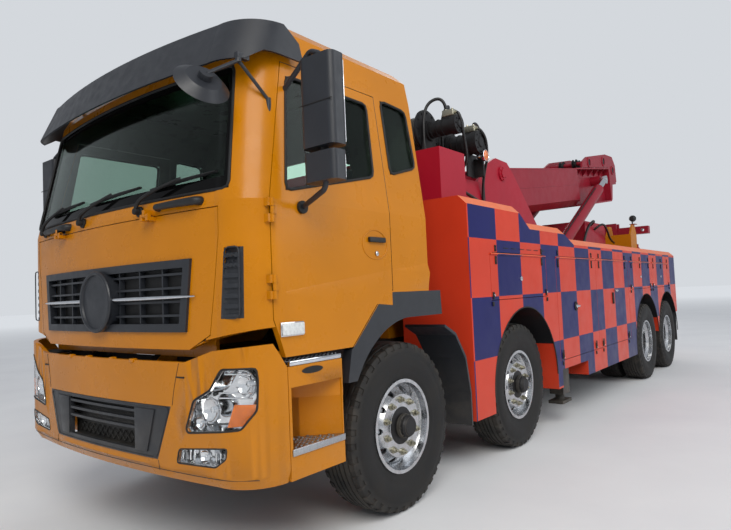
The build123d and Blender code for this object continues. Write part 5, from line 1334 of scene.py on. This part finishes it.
class TRUCK_OT_flares(bpy.types.Operator):
    """Rounds the arch corners on a copy of the cab's dark mouldings"""
    bl_idname = "truck.flares"
    bl_label = "Rounded arch flares"

    def execute(self, context):
        piece = solid_copy("cab_trim")
        edit_all(piece)
        bpy.ops.mesh.dissolve_limited(angle_limit=math.radians(0.3))
        for y, z, width in ((-0.190, 1.245, 0.17), (-0.460, 1.060, 0.085)):
            if pick_corner(piece, Vector((FRONT_AXLE + y, z))) < 2:
                raise RuntimeError("an arch corner was not found")
            bpy.ops.mesh.bevel(offset=width, segments=8, affect="EDGES")
            bpy.ops.object.mode_set(mode="OBJECT")
        dress(piece, "arch_flares", "trim", "cab", "dark_plastic", 30)
        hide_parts("cab_trim")
        return {"FINISHED"}


class TRUCK_OT_steps(bpy.types.Operator):
    """Cuts the open step recess into a copy of the bumper and its step blocks"""
    bl_idname = "truck.steps"
    bl_label = "Step recesses"

    def execute(self, context):
        piece = solid_copy("bumper")
        well = plate([at(x, y, 0.6405) for x, y in (
            (1.300, -1.078), (1.238, -1.078), (1.030, -0.900), (1.234, -0.700), (1.300, -0.700))],
            (0, 0, 0.315), 0)
        for cutter in (well, other_side(well)):
            cut = piece.modifiers.new("Recess", "BOOLEAN")
            cut.operation = "DIFFERENCE"
            cut.solver = "EXACT"
            cut.object = cutter
            take(piece)
            bpy.ops.object.modifier_apply(modifier=cut.name)
            bpy.data.objects.remove(cutter)
        if len(piece.data.polygons) < 50:
            raise RuntimeError("the step recess was not cut")
        wall = plate([at(x, y, 0.6403) for x, y in (
            (1.030, -0.900), (1.234, -0.700), (1.244, -0.700), (1.244, -0.692), (1.228, -0.692),
            (1.022, -0.894))], (0, 0, 0.2195), 0)
        piece = joined([piece, wall, other_side(wall)])
        dress(piece, "stepped_bumper", "cab", "chassis", "cab_paint", 30)
        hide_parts("bumper")
        return {"FINISHED"}


DOOR_STRAPS = (2.63, 3.67, 3.935, 5.04)
LID_STRAPS = (1.25, 2.21, 5.37, 5.82, 6.32, 6.62, 7.14, 7.58)
LID_KEEPERS = (1.163, 2.297, 5.289, 6.40, 6.54, 7.66)
LID_LATCHES = (1.178, 2.282, 5.304, 6.386, 6.556, 7.644)
LID_LOCKS = (1.73, 5.845, 7.10)
ARCH_RADIUS = 0.678


class TRUCK_OT_lockers(bpy.types.Operator):
    """Adds hinge straps, latches and locks to the locker doors"""
    bl_idname = "truck.lockers"
    bl_label = "Locker fittings"

    def execute(self, context):
        self.body_fittings()
        for side, sign in SIDES:
            self.door_fittings(side, sign, f"locker_doors_{side}")
            self.lid_fittings(side, sign, f"locker_lids_{side}")
        self.arch_edges()
        return {"FINISHED"}

    def body_fittings(self):
        parts = []
        for y in (*DOOR_STRAPS, *LID_STRAPS):
            parts += strap(y, 1.706, 1.758)
        for y in DOOR_STRAPS:
            parts.append(slab(at(1.2502, y - 0.013, 0.612), at(1.2600, y + 0.013, 0.650), 0.003))
        for y in LID_KEEPERS:
            parts.append(slab(at(1.2502, y - 0.013, 1.262), at(1.2600, y + 0.013, 1.298), 0.003))
        for step in range(6):
            y = 1.40 + 0.16 * step
            parts.append(slab(at(1.2502, y, 1.735), at(1.2530, y + 0.10, 1.741), 0.001, 1))
        dress(pair(joined(parts)), "locker_pads", "steel", "chassis", "frame_paint")

    def door_fittings(self, side, sign, body):
        black = []
        for y in DOOR_STRAPS:
            black += strap(y, 1.585, 1.668) + latch(y, 0.675)
        black.append(bar(at(1.2502, 3.080, 1.180), at(1.2600, 3.080, 1.180), 0.048, 36, 0.003))
        black.append(slab(at(1.2502, 4.405, 1.150), at(1.2640, 4.455, 1.290), 0.005))
        put(joined(black), sign, f"door_fittings_{side}", "steel", body, "frame_paint")
        bright = [
            slab(at(1.2595, 3.070, 1.168), at(1.2700, 3.172, 1.190), 0.004),
            bar(at(1.2600, 3.080, 1.180), at(1.2680, 3.080, 1.180), 0.019, 24, 0.002),
            bar(at(1.2502, 4.560, 1.310), at(1.2740, 4.560, 1.310), 0.016, 20, 0.003),
            slab(at(1.2660, 4.500, 1.300), at(1.2730, 4.610, 1.322), 0.003),
        ]
        for y in DOOR_STRAPS:
            bright.append(bar(at(1.2570, y, 0.690), at(1.2700, y, 0.690), 0.0065, 12, 0.001))
        put(joined(bright), sign, f"door_locks_{side}", "chrome", body, "rod_chrome")

    def lid_fittings(self, side, sign, body):
        black, bright = [], []
        for y in LID_STRAPS:
            black += strap(y, 1.600, 1.668)
        for y in LID_LATCHES:
            black.append(slab(at(1.2502, y - 0.014, 1.318), at(1.2590, y + 0.014, 1.375), 0.003))
            bright.append(bar(at(1.2585, y, 1.350), at(1.2680, y, 1.350), 0.009, 16, 0.0015))
        for y in LID_LOCKS:
            bright.append(bar(at(1.2502, y, 1.480), at(1.2580, y, 1.480), 0.021, 24, 0.002))
        put(joined(black), sign, f"lid_fittings_{side}", "steel", body, "frame_paint")
        put(joined(bright), sign, f"lid_locks_{side}", "chrome", body, "rod_chrome")

    def arch_edges(self):
        trims = []
        for axle, end in ((2, 180.0), (3, 180.0), (4, 152.0)):
            line = []
            for step in range(31):
                angle = math.radians(180 - end * step / 30)
                line.append(at(1.2490, AXLES[axle] - ARCH_RADIUS * math.cos(angle),
                               0.55 + ARCH_RADIUS * math.sin(angle)))
            trims.append(hose(line, 0.006, 2))
        dress(pair(joined(trims)), "arch_edges", "rubber", "chassis", "dark_plastic", 60)


LIFT_FOOT = (4.50, 1.70)
LIFT_RUN = Vector((0, 0.876768, 0.480914))
WINCHES = ((1.62, 2.942, 0.078), (2.025, 2.841, 0.105))
ROPE_RADIUS = 0.1545
HOSE_ROUTES = (
    (0.015, ((0.655, 1.600, 3.100), (0.655, 1.590, 3.160), (0.600, 1.560, 3.215), (0.510, 1.520, 3.175),
             (0.475, 1.490, 3.060), (0.476, 1.480, 2.850), (0.476, 1.490, 2.640), (0.470, 1.560, 2.525))),
    (0.013, ((0.655, 1.644, 3.100), (0.650, 1.680, 3.150), (0.580, 1.730, 3.170), (0.500, 1.770, 3.060),
             (0.480, 1.800, 2.860), (0.490, 1.810, 2.640), (0.500, 1.800, 2.520))),
    (0.014, ((0.762, 1.620, 3.053), (0.785, 1.620, 3.040), (0.795, 1.640, 2.930), (0.785, 1.700, 2.780),
             (0.770, 1.760, 2.640), (0.700, 1.800, 2.560), (0.610, 1.820, 2.515))),
    (0.014, ((0.762, 2.025, 2.978), (0.790, 2.030, 2.960), (0.800, 2.110, 2.880), (0.760, 2.200, 2.720),
             (0.690, 2.260, 2.600), (0.640, 2.300, 2.450), (0.625, 2.320, 2.300))),
    (0.013, ((0.712, 2.025, 3.030), (0.712, 2.060, 3.060), (0.690, 2.200, 3.020), (0.640, 2.330, 2.800),
             (0.600, 2.400, 2.600), (0.575, 2.440, 2.350), (0.560, 2.500, 2.100))),
    (0.016, ((0.620, 1.300, 2.40), (0.70, 1.300, 2.42), (0.745, 1.500, 2.36), (0.745, 1.900, 2.28),
             (0.700, 2.200, 2.24), (0.640, 2.400, 2.18), (0.600, 2.600, 2.05))),
    (0.016, ((0.620, 1.320, 2.34), (0.68, 1.330, 2.34), (0.700, 1.500, 2.27), (0.700, 1.900, 2.20),
             (0.660, 2.200, 2.18), (0.620, 2.400, 2.08), (0.600, 2.600, 1.92))),
    (0.02, ((0.355, 6.60, 2.36), (0.420, 6.60, 2.40), (0.460, 6.45, 2.42), (0.440, 6.20, 2.30),
            (0.400, 6.05, 2.00), (0.380, 5.90, 1.60), (0.380, 5.80, 1.24))),
    (0.018, ((0.355, 6.80, 2.30), (0.430, 6.80, 2.36), (0.470, 6.95, 2.40), (0.450, 7.20, 2.30),
             (0.400, 7.50, 2.16), (0.380, 7.80, 2.12))),
    (0.02, ((-0.355, 6.60, 2.36), (-0.420, 6.60, 2.40), (-0.460, 6.45, 2.42), (-0.440, 6.20, 2.30),
            (-0.400, 6.05, 2.00), (-0.380, 5.90, 1.60), (-0.380, 5.80, 1.24))),
)


class TRUCK_OT_lifting_gear(bpy.types.Operator):
    """Adds winch ropes, hoses, valves, sheaves, pins and welds to the mast and boom"""
    bl_idname = "truck.lifting_gear"
    bl_label = "Lifting gear"

    def execute(self, context):
        self.winches()
        runs = [hose([at(*place) for place in route], radius, 3) for radius, route in HOSE_ROUTES]
        dress(joined(runs), "mast_hoses", "hose", "chassis", "dark_plastic", 60)
        self.pin_caps()
        self.boom_welds()
        self.head()
        self.cylinder_pipes()
        return {"FINISHED"}

    def winches(self):
        ropes = [bar(at(-0.408, y, z), at(0.408, y, z), ROPE_RADIUS, 48, 0) for y, z, motor in WINCHES]
        dress(joined(ropes), "winch_ropes", "rope", "chassis", "rod_chrome")
        bright, dark = [], []
        for y, z, motor in WINCHES:
            top = z + motor
            bright.append(slab(
                at(0.6265, y - 0.049, top + 0.004), at(0.7435, y + 0.049, top + 0.0655), 0.006, 3))
            for x, back in ((0.655, -0.02), (0.655, 0.024), (0.712, 0.0)):
                seat = at(x, y + back, top + 0.064)
                bright.append(bar(seat, seat + Vector((0, 0, 0.020)), 0.011, 6, 0.001))
            bright.append(stud(at(0.7430, y, top + 0.035), 0.017, 0.014))
            centre = at(0.78, y, z)
            dark.append(around(stud(at(0.778, y, top - 0.016), 0.012, 0.008), 8, centre))
            dark.append(revolved(centre, (1, 0, 0), (
                (0.0, motor * 0.5), (0.012, motor * 0.46), (0.014, motor * 0.25), (0.014, 0.0)), 32))
            dark.append(around(stud(at(0.43, y, z + 0.178), 0.008, 0.009), 12, at(0.43, y, z)))
            for x in (0.50, 0.56, 0.62):
                dark.append(revolved(at(x, y, z), (1, 0, 0), (
                    (0.0, motor - 0.004), (0.002, motor + 0.006), (0.010, motor + 0.006),
                    (0.012, motor - 0.004)), 36))
        dress(joined(bright), "valve_blocks", "zinc", "chassis", "rod_chrome", 30)
        dark.append(slab(at(0.64, 1.965, 2.515), at(0.660, 2.165, 2.745), 0.004))
        dark.append(slab(at(0.620, 2.10, 2.515), at(0.760, 2.125, 2.700), 0.004))
        dress(joined(dark), "winch_fittings", "steel", "chassis", "cast_parts", 30)

    def pin_caps(self):
        caps = []
        for sign in (1, -1):
            centre = at(sign * 0.5102, *BOOM_PIVOT)
            caps.append(revolved(centre, (1, 0, 0), (
                (-0.0235, 0.085), (-0.010, 0.085), (-0.008, 0.082), (-0.008, 0.052), (0.006, 0.050),
                (0.006, 0.0)), 40, sign))
            bolt = stud(centre + Vector((-sign * 0.009, 0, 0.067)), sign * 0.010, 0.008)
            caps.append(around(bolt, 6, centre))
        for sign in (1, -1):
            caps.append(revolved(at(sign * 0.5755, *LIFT_FOOT), (1, 0, 0), (
                (0.0, 0.055), (0.012, 0.055), (0.014, 0.050), (0.014, 0.0)), 32, sign))
        dress(joined(caps), "mast_pin_caps", "tower", "chassis", "lift_paint", 30)

    def boom_welds(self):
        thick = on_boom(0, 0.014, 0) - on_boom(0, 0, 0)
        parts = []
        for sign in (1, -1):
            for x, v, run in (
                (0.3602, -0.17, (0.6, 1.4, 2.2, 2.98)), (0.3602, 0.074, (-0.1, 1.0, 2.0, 3.02)),
                (0.2402, -0.05, (3.07, 3.6, 4.2, 4.8)),
            ):
                parts.append(hose([on_boom(sign * x, u, v) for u in run], 0.0035, 2))
            for u in (3.35, 3.65, 3.95, 4.25, 4.55):
                corners = [on_boom(sign * x, u, v) for x, v in ((0.24, 0.078), (0.34, 0.078), (0.24, -0.030))]
                parts.append(plate(corners, thick, 0.002, 1))
        dress(joined(parts), "boom_welds", "boom", "boom", "lift_paint", 30)

    def head(self):
        wheels = []
        for x in (-0.11, 0.11):
            wheels.append(sheave(on_boom(x, 4.60, 0.22), 0.092, 0.07))
            wheels.append(sheave(on_boom(x, 3.75, 0.20), 0.078, 0.07))
            wheels.append(sheave(on_boom(x, 5.12, 0.06), 0.170, 0.08))
        dress(joined(wheels), "boom_sheaves", "steel", "boom_extension", "cast_parts", 30)
        rings, pins = [], []
        for sign in (1, -1):
            for u, v, radius in ((3.78, 0.195, 0.058), (4.60, 0.22, 0.062), (5.12, 0.06, 0.06)):
                centre = on_boom(sign * 0.3302, u, v)
                rings.append(revolved(centre, (1, 0, 0), (
                    (0.0, radius + 0.026), (0.010, radius + 0.024), (0.012, radius + 0.020),
                    (0.012, radius), (0.0, radius)), 40, sign))
                pins.append(revolved(centre, (1, 0, 0), (
                    (0.0, radius), (0.003, radius), (0.003, 0.032), (0.008, 0.030), (0.008, 0.0)), 32, sign))
        dress(joined(rings), "boom_head_rings", "boom", "boom_extension", "lift_paint", 30)
        dress(joined(pins), "boom_head_pins", "steel", "boom_extension", "cast_parts", 30)

    def cylinder_pipes(self):
        square = Vector((0, -LIFT_RUN.z, LIFT_RUN.y))
        parts = []
        for sign in (1, -1):
            foot = at(sign * 0.455, *LIFT_FOOT)
            parts.append(hose([foot + LIFT_RUN * a + square * b + Vector((sign * c, 0, 0)) for a, b, c in (
                (0.16, 0.06, 0.06), (0.22, 0.085, 0.045), (0.35, 0.098, 0.02), (1.2, 0.098, 0.02),
                (2.3, 0.098, 0.02), (2.45, 0.098, 0.02), (2.50, 0.070, 0.015))], 0.009, 3))
            for a in (0.6, 1.4, 2.2):
                middle = foot + LIFT_RUN * a + Vector((sign * 0.02, 0, 0))
                parts.append(bar(middle + square * 0.080, middle + square * 0.112, 0.010, 6, 0.001))
        dress(joined(parts), "cylinder_pipes", "steel", "cylinder_barrels", "cast_parts", 40)


class TRUCK_OT_chassis_gear(bpy.types.Operator):
    """Adds shafts, air tanks, pipes and brake chambers under the truck, and the tail fittings"""
    bl_idname = "truck.chassis_gear"
    bl_label = "Chassis and tail"

    def execute(self, context):
        shafts = [
            bar(at(0, 1.350, 0.700), at(0, 5.930, 0.560), 0.050, 24, 0.002),
            bar(at(0, 6.270, 0.560), at(0, 7.280, 0.560), 0.045, 24, 0.002),
            bar(at(0, 1.350, 0.700), at(0, 1.470, 0.696), 0.078, 24, 0.004),
            bar(at(0, 5.820, 0.563), at(0, 5.940, 0.560), 0.078, 24, 0.004),
        ]
        dress(joined(shafts), "prop_shafts", "iron", "chassis", "cast_parts")
        dress(joined(self.tanks()), "air_tanks", "steel", "chassis", "frame_paint")
        dress(joined(self.chambers()), "brake_chambers", "steel", "chassis", "cast_parts")
        dress(joined(self.pipes()), "chassis_pipes", "iron", "chassis", "cast_parts", 60)
        dress(joined(self.pegs()), "tail_pegs", "boom", "chassis", "lift_paint")
        self.tail_lamps()
        bars = [slab(at(low, 8.1022, 0.395), at(high, 8.1090, 0.425), 0.002)
                for low, high in ((0.66, 1.23), (-1.23, -0.66))]
        dress(joined(bars), "mudflap_bars", "alloy", "chassis", "rod_chrome")
        return {"FINISHED"}

    def tanks(self):
        parts = []
        for sign in (1, -1):
            for start in (3.55, 4.70):
                centre = at(sign * 0.527, start, 0.880)
                parts.append(revolved(centre, (0, 1, 0), (
                    (0.0, 0.0), (0.006, 0.045), (0.020, 0.072), (0.045, 0.085), (0.62, 0.085),
                    (0.645, 0.072), (0.659, 0.045), (0.665, 0.0)), 32))
                for y in (0.14, 0.52):
                    band = centre + Vector((0, y, 0))
                    parts.append(bar(band, band + Vector((0, 0.03, 0)), 0.089, 32, 0.001))
        return parts

    def chambers(self):
        parts = []
        for axle in (3, 4):
            y = AXLES[axle]
            for x in (0.30, -0.30):
                parts.append(bar(at(x, y - 0.24, 0.69), at(x, y - 0.10, 0.64), 0.075, 28, 0.01))
        for axle in (1, 2):
            y = AXLES[axle]
            for x in (0.62, -0.62):
                parts.append(bar(at(x, y + 0.18, 0.60), at(x, y + 0.06, 0.58), 0.062, 28, 0.01))
        return parts

    def pipes(self):
        run = ((0.375, -0.7), (0.380, 0.6), (0.392, 1.6), (0.392, 3.0),
               (0.392, 5.0), (0.392, 7.0), (0.392, 7.9))
        parts = []
        for sign in (1, -1):
            for z, radius in ((0.93, 0.010), (0.96, 0.008), (0.985, 0.008)):
                parts.append(hose([at(sign * x, y, z) for x, y in run], radius, 2))
        exhaust = [at(0.20, 0.2, 0.56), at(0.34, 0.7, 0.52), at(0.34, 1.3, 0.52), at(0.34, 2.2, 0.60)]
        parts.append(hose(exhaust, 0.05, 5))
        parts.append(bar(at(0.34, 2.1, 0.62), at(0.34, 2.70, 0.66), 0.10, 28, 0.01))
        return parts

    def pegs(self):
        parts = []
        for x in (0.62, -0.62):
            parts.append(slab(at(x - 0.02, 8.4002, 1.60), at(x + 0.02, 8.4280, 2.10), 0.004))
            for z in (1.66, 1.84, 2.02):
                parts.append(bar(at(x, 8.4200, z), at(x, 8.4700, z), 0.016, 16, 0.003))
                parts.append(bar(at(x, 8.4680, z), at(x, 8.4740, z), 0.026, 16, 0.002))
            parts.append(slab(at(x - 0.05, 8.1505, 2.4505), at(x + 0.05, 8.2905, 2.4620), 0.003))
        return parts

    def tail_lamps(self):
        shells, glasses = [], []
        for x in (0.605, -0.605):
            foot = at(x, 8.225, 2.462)
            shells.append(bar(foot, foot + Vector((0, 0, 0.05)), 0.012, 16, 0.001))
            hub = foot + Vector((0, 0.02, 0.105))
            shells.append(revolved(hub, (0, 1, 0), (
                (-0.045, 0.0), (-0.042, 0.035), (-0.015, 0.056), (0.030, 0.060), (0.032, 0.054),
                (0.024, 0.052), (0.020, 0.0)), 32))
            glasses.append(revolved(hub, (0, 1, 0), ((0.025, 0.052), (0.034, 0.040), (0.037, 0.0)), 32))
        dress(joined(shells), "tail_lamp_shells", "plastic", "chassis", "dark_plastic")
        dress(joined(glasses), "tail_lamp_lenses", "white_lens", "chassis", "lamp_lens")


DRIVER_X = -0.56
COLUMN_LEAN = math.radians(60)


class TRUCK_OT_cabin(bpy.types.Operator):
    """Adds the dashboard's fittings, the gear lever and the wheel's boss"""
    bl_idname = "truck.cabin"
    bl_label = "Cabin details"

    def execute(self, context):
        parts = [
            slab(at(-0.72, -1.05, 1.895), at(-0.40, -0.97, 1.935), 0.012, 3),
            slab(at(-0.14, -1.00, 1.905), at(0.10, -0.985, 2.020), 0.006),
            slab(at(-0.20, -0.875, 1.660), at(0.12, -0.852, 1.760), 0.006),
        ]
        for column in range(6):
            x = -0.17 + 0.048 * column
            parts.append(slab(at(x, -0.856, 1.690), at(x + 0.036, -0.846, 1.710), 0.003))
        for x in (-0.98, -0.30, 0.30, 0.98):
            parts.append(slab(at(x - 0.07, -0.870, 1.690), at(x + 0.07, -0.850, 1.750), 0.006))
        dress(joined(parts), "dash_fittings", "plastic", "cab", "dark_plastic")
        stick = [at(-0.24, -0.42, 1.44), at(-0.24, -0.44, 1.60),
                 at(-0.25, -0.46, 1.72), at(-0.26, -0.46, 1.80)]
        knob = bar(at(-0.26, -0.46, 1.795), at(-0.26, -0.46, 1.865), 0.024, 20, 0.010)
        dress(joined([hose(stick, 0.011, 3), knob]), "gear_lever", "plastic", "cab", "dark_plastic")
        axis = Vector((0, -math.cos(COLUMN_LEAN), -math.sin(COLUMN_LEAN)))
        hub = at(DRIVER_X, -0.79, 1.95) - axis * 0.0152
        pad = bar(hub, hub - axis * 0.016, 0.062, 28, 0.007)
        dress(pad, "wheel_pad", "plastic", "steering_wheel", "dark_plastic")
        return {"FINISHED"}


def stuffed(piece, voxel, most):
    """Swells a pad as cloth under pressure, and caps how far each point moves."""
    take(piece)
    grid = piece.modifiers.new("Even mesh", "REMESH")
    grid.mode = "VOXEL"
    grid.voxel_size = voxel
    bpy.ops.object.modifier_apply(modifier=grid.name)
    scene = bpy.context.scene
    scene.frame_set(1)
    before = [point.co.copy() for point in piece.data.vertices]
    skin = piece.modifiers.new("Stuffing", "CLOTH")
    skin.settings.use_pressure = True
    skin.settings.uniform_pressure_force = 4
    skin.settings.effector_weights.gravity = 0
    skin.point_cache.frame_start = 1
    skin.point_cache.frame_end = 20
    for frame_number in range(1, 21):
        scene.frame_set(frame_number)
    bpy.ops.object.modifier_apply(modifier=skin.name)
    scene.frame_set(1)
    for point, place in zip(piece.data.vertices, before):
        move = point.co - place
        if move.length > most:
            point.co = place + move * (most / move.length)
    finer = piece.modifiers.new("Smooth skin", "SUBSURF")
    finer.levels = 1
    finer.render_levels = 1
    bpy.ops.object.modifier_apply(modifier=finer.name)
    return piece


class TRUCK_OT_seats(bpy.types.Operator):
    """Models the two padded seats, each a cushion, a back and a headrest"""
    bl_idname = "truck.seats"
    bl_label = "Padded seats"

    def execute(self, context):
        crown = sizes().crown
        low, high = DRIVER_X - 0.232, DRIVER_X + 0.232
        cushion = slab(at(low, -0.505, 1.6215), at(high, -0.055, 1.742), 0.035, 3)
        back = plate([at(DRIVER_X - 0.222, y, z) for y, z in (
            (-0.100, 1.790), (-0.005, 2.310), (0.070, 2.310), (0.040, 1.725), (-0.060, 1.725))],
            (0.444, 0, 0), 0.025, 3)
        rest = plate([at(DRIVER_X - 0.128, y, z) for y, z in (
            (0.012, 2.362), (0.030, 2.548), (0.088, 2.548), (0.074, 2.362))], (0.256, 0, 0), 0.018, 3)
        pads = {
            "seat_cushion": stuffed(cushion, 0.009, crown * 0.8),
            "seat_back": stuffed(back, 0.009, crown * 0.8),
            "headrest": stuffed(rest, 0.008, crown * 0.4),
        }
        for name, pad in pads.items():
            copy = moved_copy(pad, shift=(-2 * DRIVER_X, 0, 0))
            for piece, side in ((pad, "right"), (copy, "left")):
                dress(piece, f"{name}_{side}", "cloth", "cab", "seat_fabric", 60)
                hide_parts("seats")
        posts = []
        for middle in (DRIVER_X, -DRIVER_X):
            for x in (middle - 0.05, middle + 0.05):
                posts.append(bar(at(x, 0.040, 2.30), at(x, 0.048, 2.375), 0.006, 12, 0))
            for x in (middle - 0.245, middle + 0.236):
                posts.append(slab(at(x, -0.42, 1.6205), at(x + 0.009, -0.12, 1.690), 0.003))
        dress(joined(posts), "seat_fittings", "plastic", "cab", "dark_plastic")
        return {"FINISHED"}


BACKDROP = srgb(212, 216, 221)
PHOTO_WIDTH = 731
FOCAL_PIXELS = 580.5


class TRUCK_OT_stage(bpy.types.Operator):
    """Builds the pale floor, the soft lights and the camera"""
    bl_idname = "truck.stage"
    bl_label = "Stage, light and camera"

    def execute(self, context):
        fresh()
        bpy.ops.mesh.primitive_plane_add(size=240, location=(0, 0, 0))
        floor = settle(bpy.context.object)
        floor.name = "studio_floor"
        ground = Finish("pale_floor")
        patches = ground.spread(ground.noise(0.8, 6.0), 0.3, 0.7)
        tone = ground.blend(patches, srgb(236, 237, 238), srgb(228, 229, 231))
        across, along = ground.axis("X"), ground.axis("Y")
        distance = ground.sums("SQRT", ground.sums(
            "ADD", ground.sums("MULTIPLY", across, across), ground.sums("MULTIPLY", along, along)))
        far = ground.spread(distance, 9.0, 46.0)
        ground.base(ground.blend(far, tone, (0.0, 0.0, 0.0)))
        ground.set(Emission_Color=(*BACKDROP, 1.0), Emission_Strength=far, Roughness=0.85)
        floor.data.materials.append(ground.material)
        world = bpy.data.worlds.new("studio")
        context.scene.world = world
        world.use_nodes = True
        tree = world.node_tree
        tree.nodes.clear()
        out = tree.nodes.new("ShaderNodeOutputWorld")
        light = tree.nodes.new("ShaderNodeBackground")
        light.inputs[0].default_value = (0.86, 0.90, 0.97, 1)
        light.inputs[1].default_value = 0.46
        seen = tree.nodes.new("ShaderNodeBackground")
        seen.inputs[0].default_value = (*BACKDROP, 1)
        seen.inputs[1].default_value = 1.0
        ray = tree.nodes.new("ShaderNodeLightPath")
        direct = tree.nodes.new("ShaderNodeMath")
        direct.operation = "MAXIMUM"
        tree.links.new(ray.outputs["Is Camera Ray"], direct.inputs[0])
        tree.links.new(ray.outputs["Is Transmission Ray"], direct.inputs[1])
        mix = tree.nodes.new("ShaderNodeMixShader")
        tree.links.new(direct.outputs[0], mix.inputs[0])
        tree.links.new(light.outputs[0], mix.inputs[1])
        tree.links.new(seen.outputs[0], mix.inputs[2])
        tree.links.new(mix.outputs[0], out.inputs[0])
        for name, place, power, size, tint in (
            ("key_light", (9.0, -12.0, 11.0), 1500, 9.0, (1.0, 0.97, 0.92)),
            ("side_light", (14.0, 4.0, 8.0), 700, 10.0, (0.94, 0.97, 1.0)),
            ("back_light", (-10.0, 12.0, 9.0), 500, 10.0, (1.0, 1.0, 1.0)),
        ):
            bpy.ops.object.light_add(type="AREA", location=place)
            lamp = bpy.context.object
            lamp.name = name
            lamp.data.energy = power
            lamp.data.size = size
            lamp.data.color = tint
            lamp.rotation_euler = (Vector((0, -1.5, 1.2)) - Vector(place)).to_track_quat("-Z", "Y").to_euler()
        bpy.ops.object.camera_add(location=(3.371, -6.912, 1.410))
        camera = bpy.context.object
        camera.name = "photo_camera"
        camera.data.sensor_fit = "HORIZONTAL"
        camera.data.sensor_width = 36.0
        camera.data.lens = FOCAL_PIXELS / PHOTO_WIDTH * camera.data.sensor_width
        camera.data.clip_end = 400
        yaw, pitch, roll = math.radians(38.61), math.radians(2.78), math.radians(-2.45)
        ahead = Vector((-math.sin(yaw) * math.cos(pitch), math.cos(yaw) * math.cos(pitch), math.sin(pitch)))
        right = Vector((math.cos(yaw), math.sin(yaw), 0))
        up = right.cross(ahead)
        leaned_right = math.cos(roll) * right + math.sin(roll) * up
        leaned_up = -math.sin(roll) * right + math.cos(roll) * up
        turn = Matrix((leaned_right, leaned_up, -ahead)).transposed()
        camera.matrix_world = Matrix.Translation(camera.location) @ turn.to_4x4()
        context.scene.camera = camera
        context.scene.view_settings.view_transform = "Standard"
        return {"FINISHED"}


STEPS = (
    TRUCK_OT_paint,
    TRUCK_OT_tyres,
    TRUCK_OT_wheels,
    TRUCK_OT_lamps,
    TRUCK_OT_front,
    TRUCK_OT_cab_sides,
    TRUCK_OT_flares,
    TRUCK_OT_steps,
    TRUCK_OT_lockers,
    TRUCK_OT_lifting_gear,
    TRUCK_OT_chassis_gear,
    TRUCK_OT_cabin,
    TRUCK_OT_seats,
    TRUCK_OT_stage,
)


class TRUCK_PT_panel(bpy.types.Panel):
    bl_label = "Tow truck"
    bl_idname = "TRUCK_PT_panel"
    bl_space_type = "VIEW_3D"
    bl_region_type = "UI"
    bl_category = "Truck"

    def draw(self, context):
        column = self.layout.column(align=True)
        for step in STEPS:
            column.operator(step.bl_idname)
        column.separator()
        for group in (context.scene.truck_colours, context.scene.truck_sizes):
            for name in group.__annotations__:
                column.prop(group, name)


CLASSES = (TruckColours, TruckSizes, *STEPS, TRUCK_PT_panel)


def register():
    for item in CLASSES:
        bpy.utils.register_class(item)
    bpy.types.Scene.truck_colours = bpy.props.PointerProperty(type=TruckColours)
    bpy.types.Scene.truck_sizes = bpy.props.PointerProperty(type=TruckSizes)


def unregister():
    del bpy.types.Scene.truck_sizes
    del bpy.types.Scene.truck_colours
    for item in reversed(CLASSES):
        bpy.utils.unregister_class(item)


def main():
    register()
    for step in STEPS:
        family, name = step.bl_idname.split(".")
        getattr(getattr(bpy.ops, family), name)()


if __name__ == "__main__":
    main()
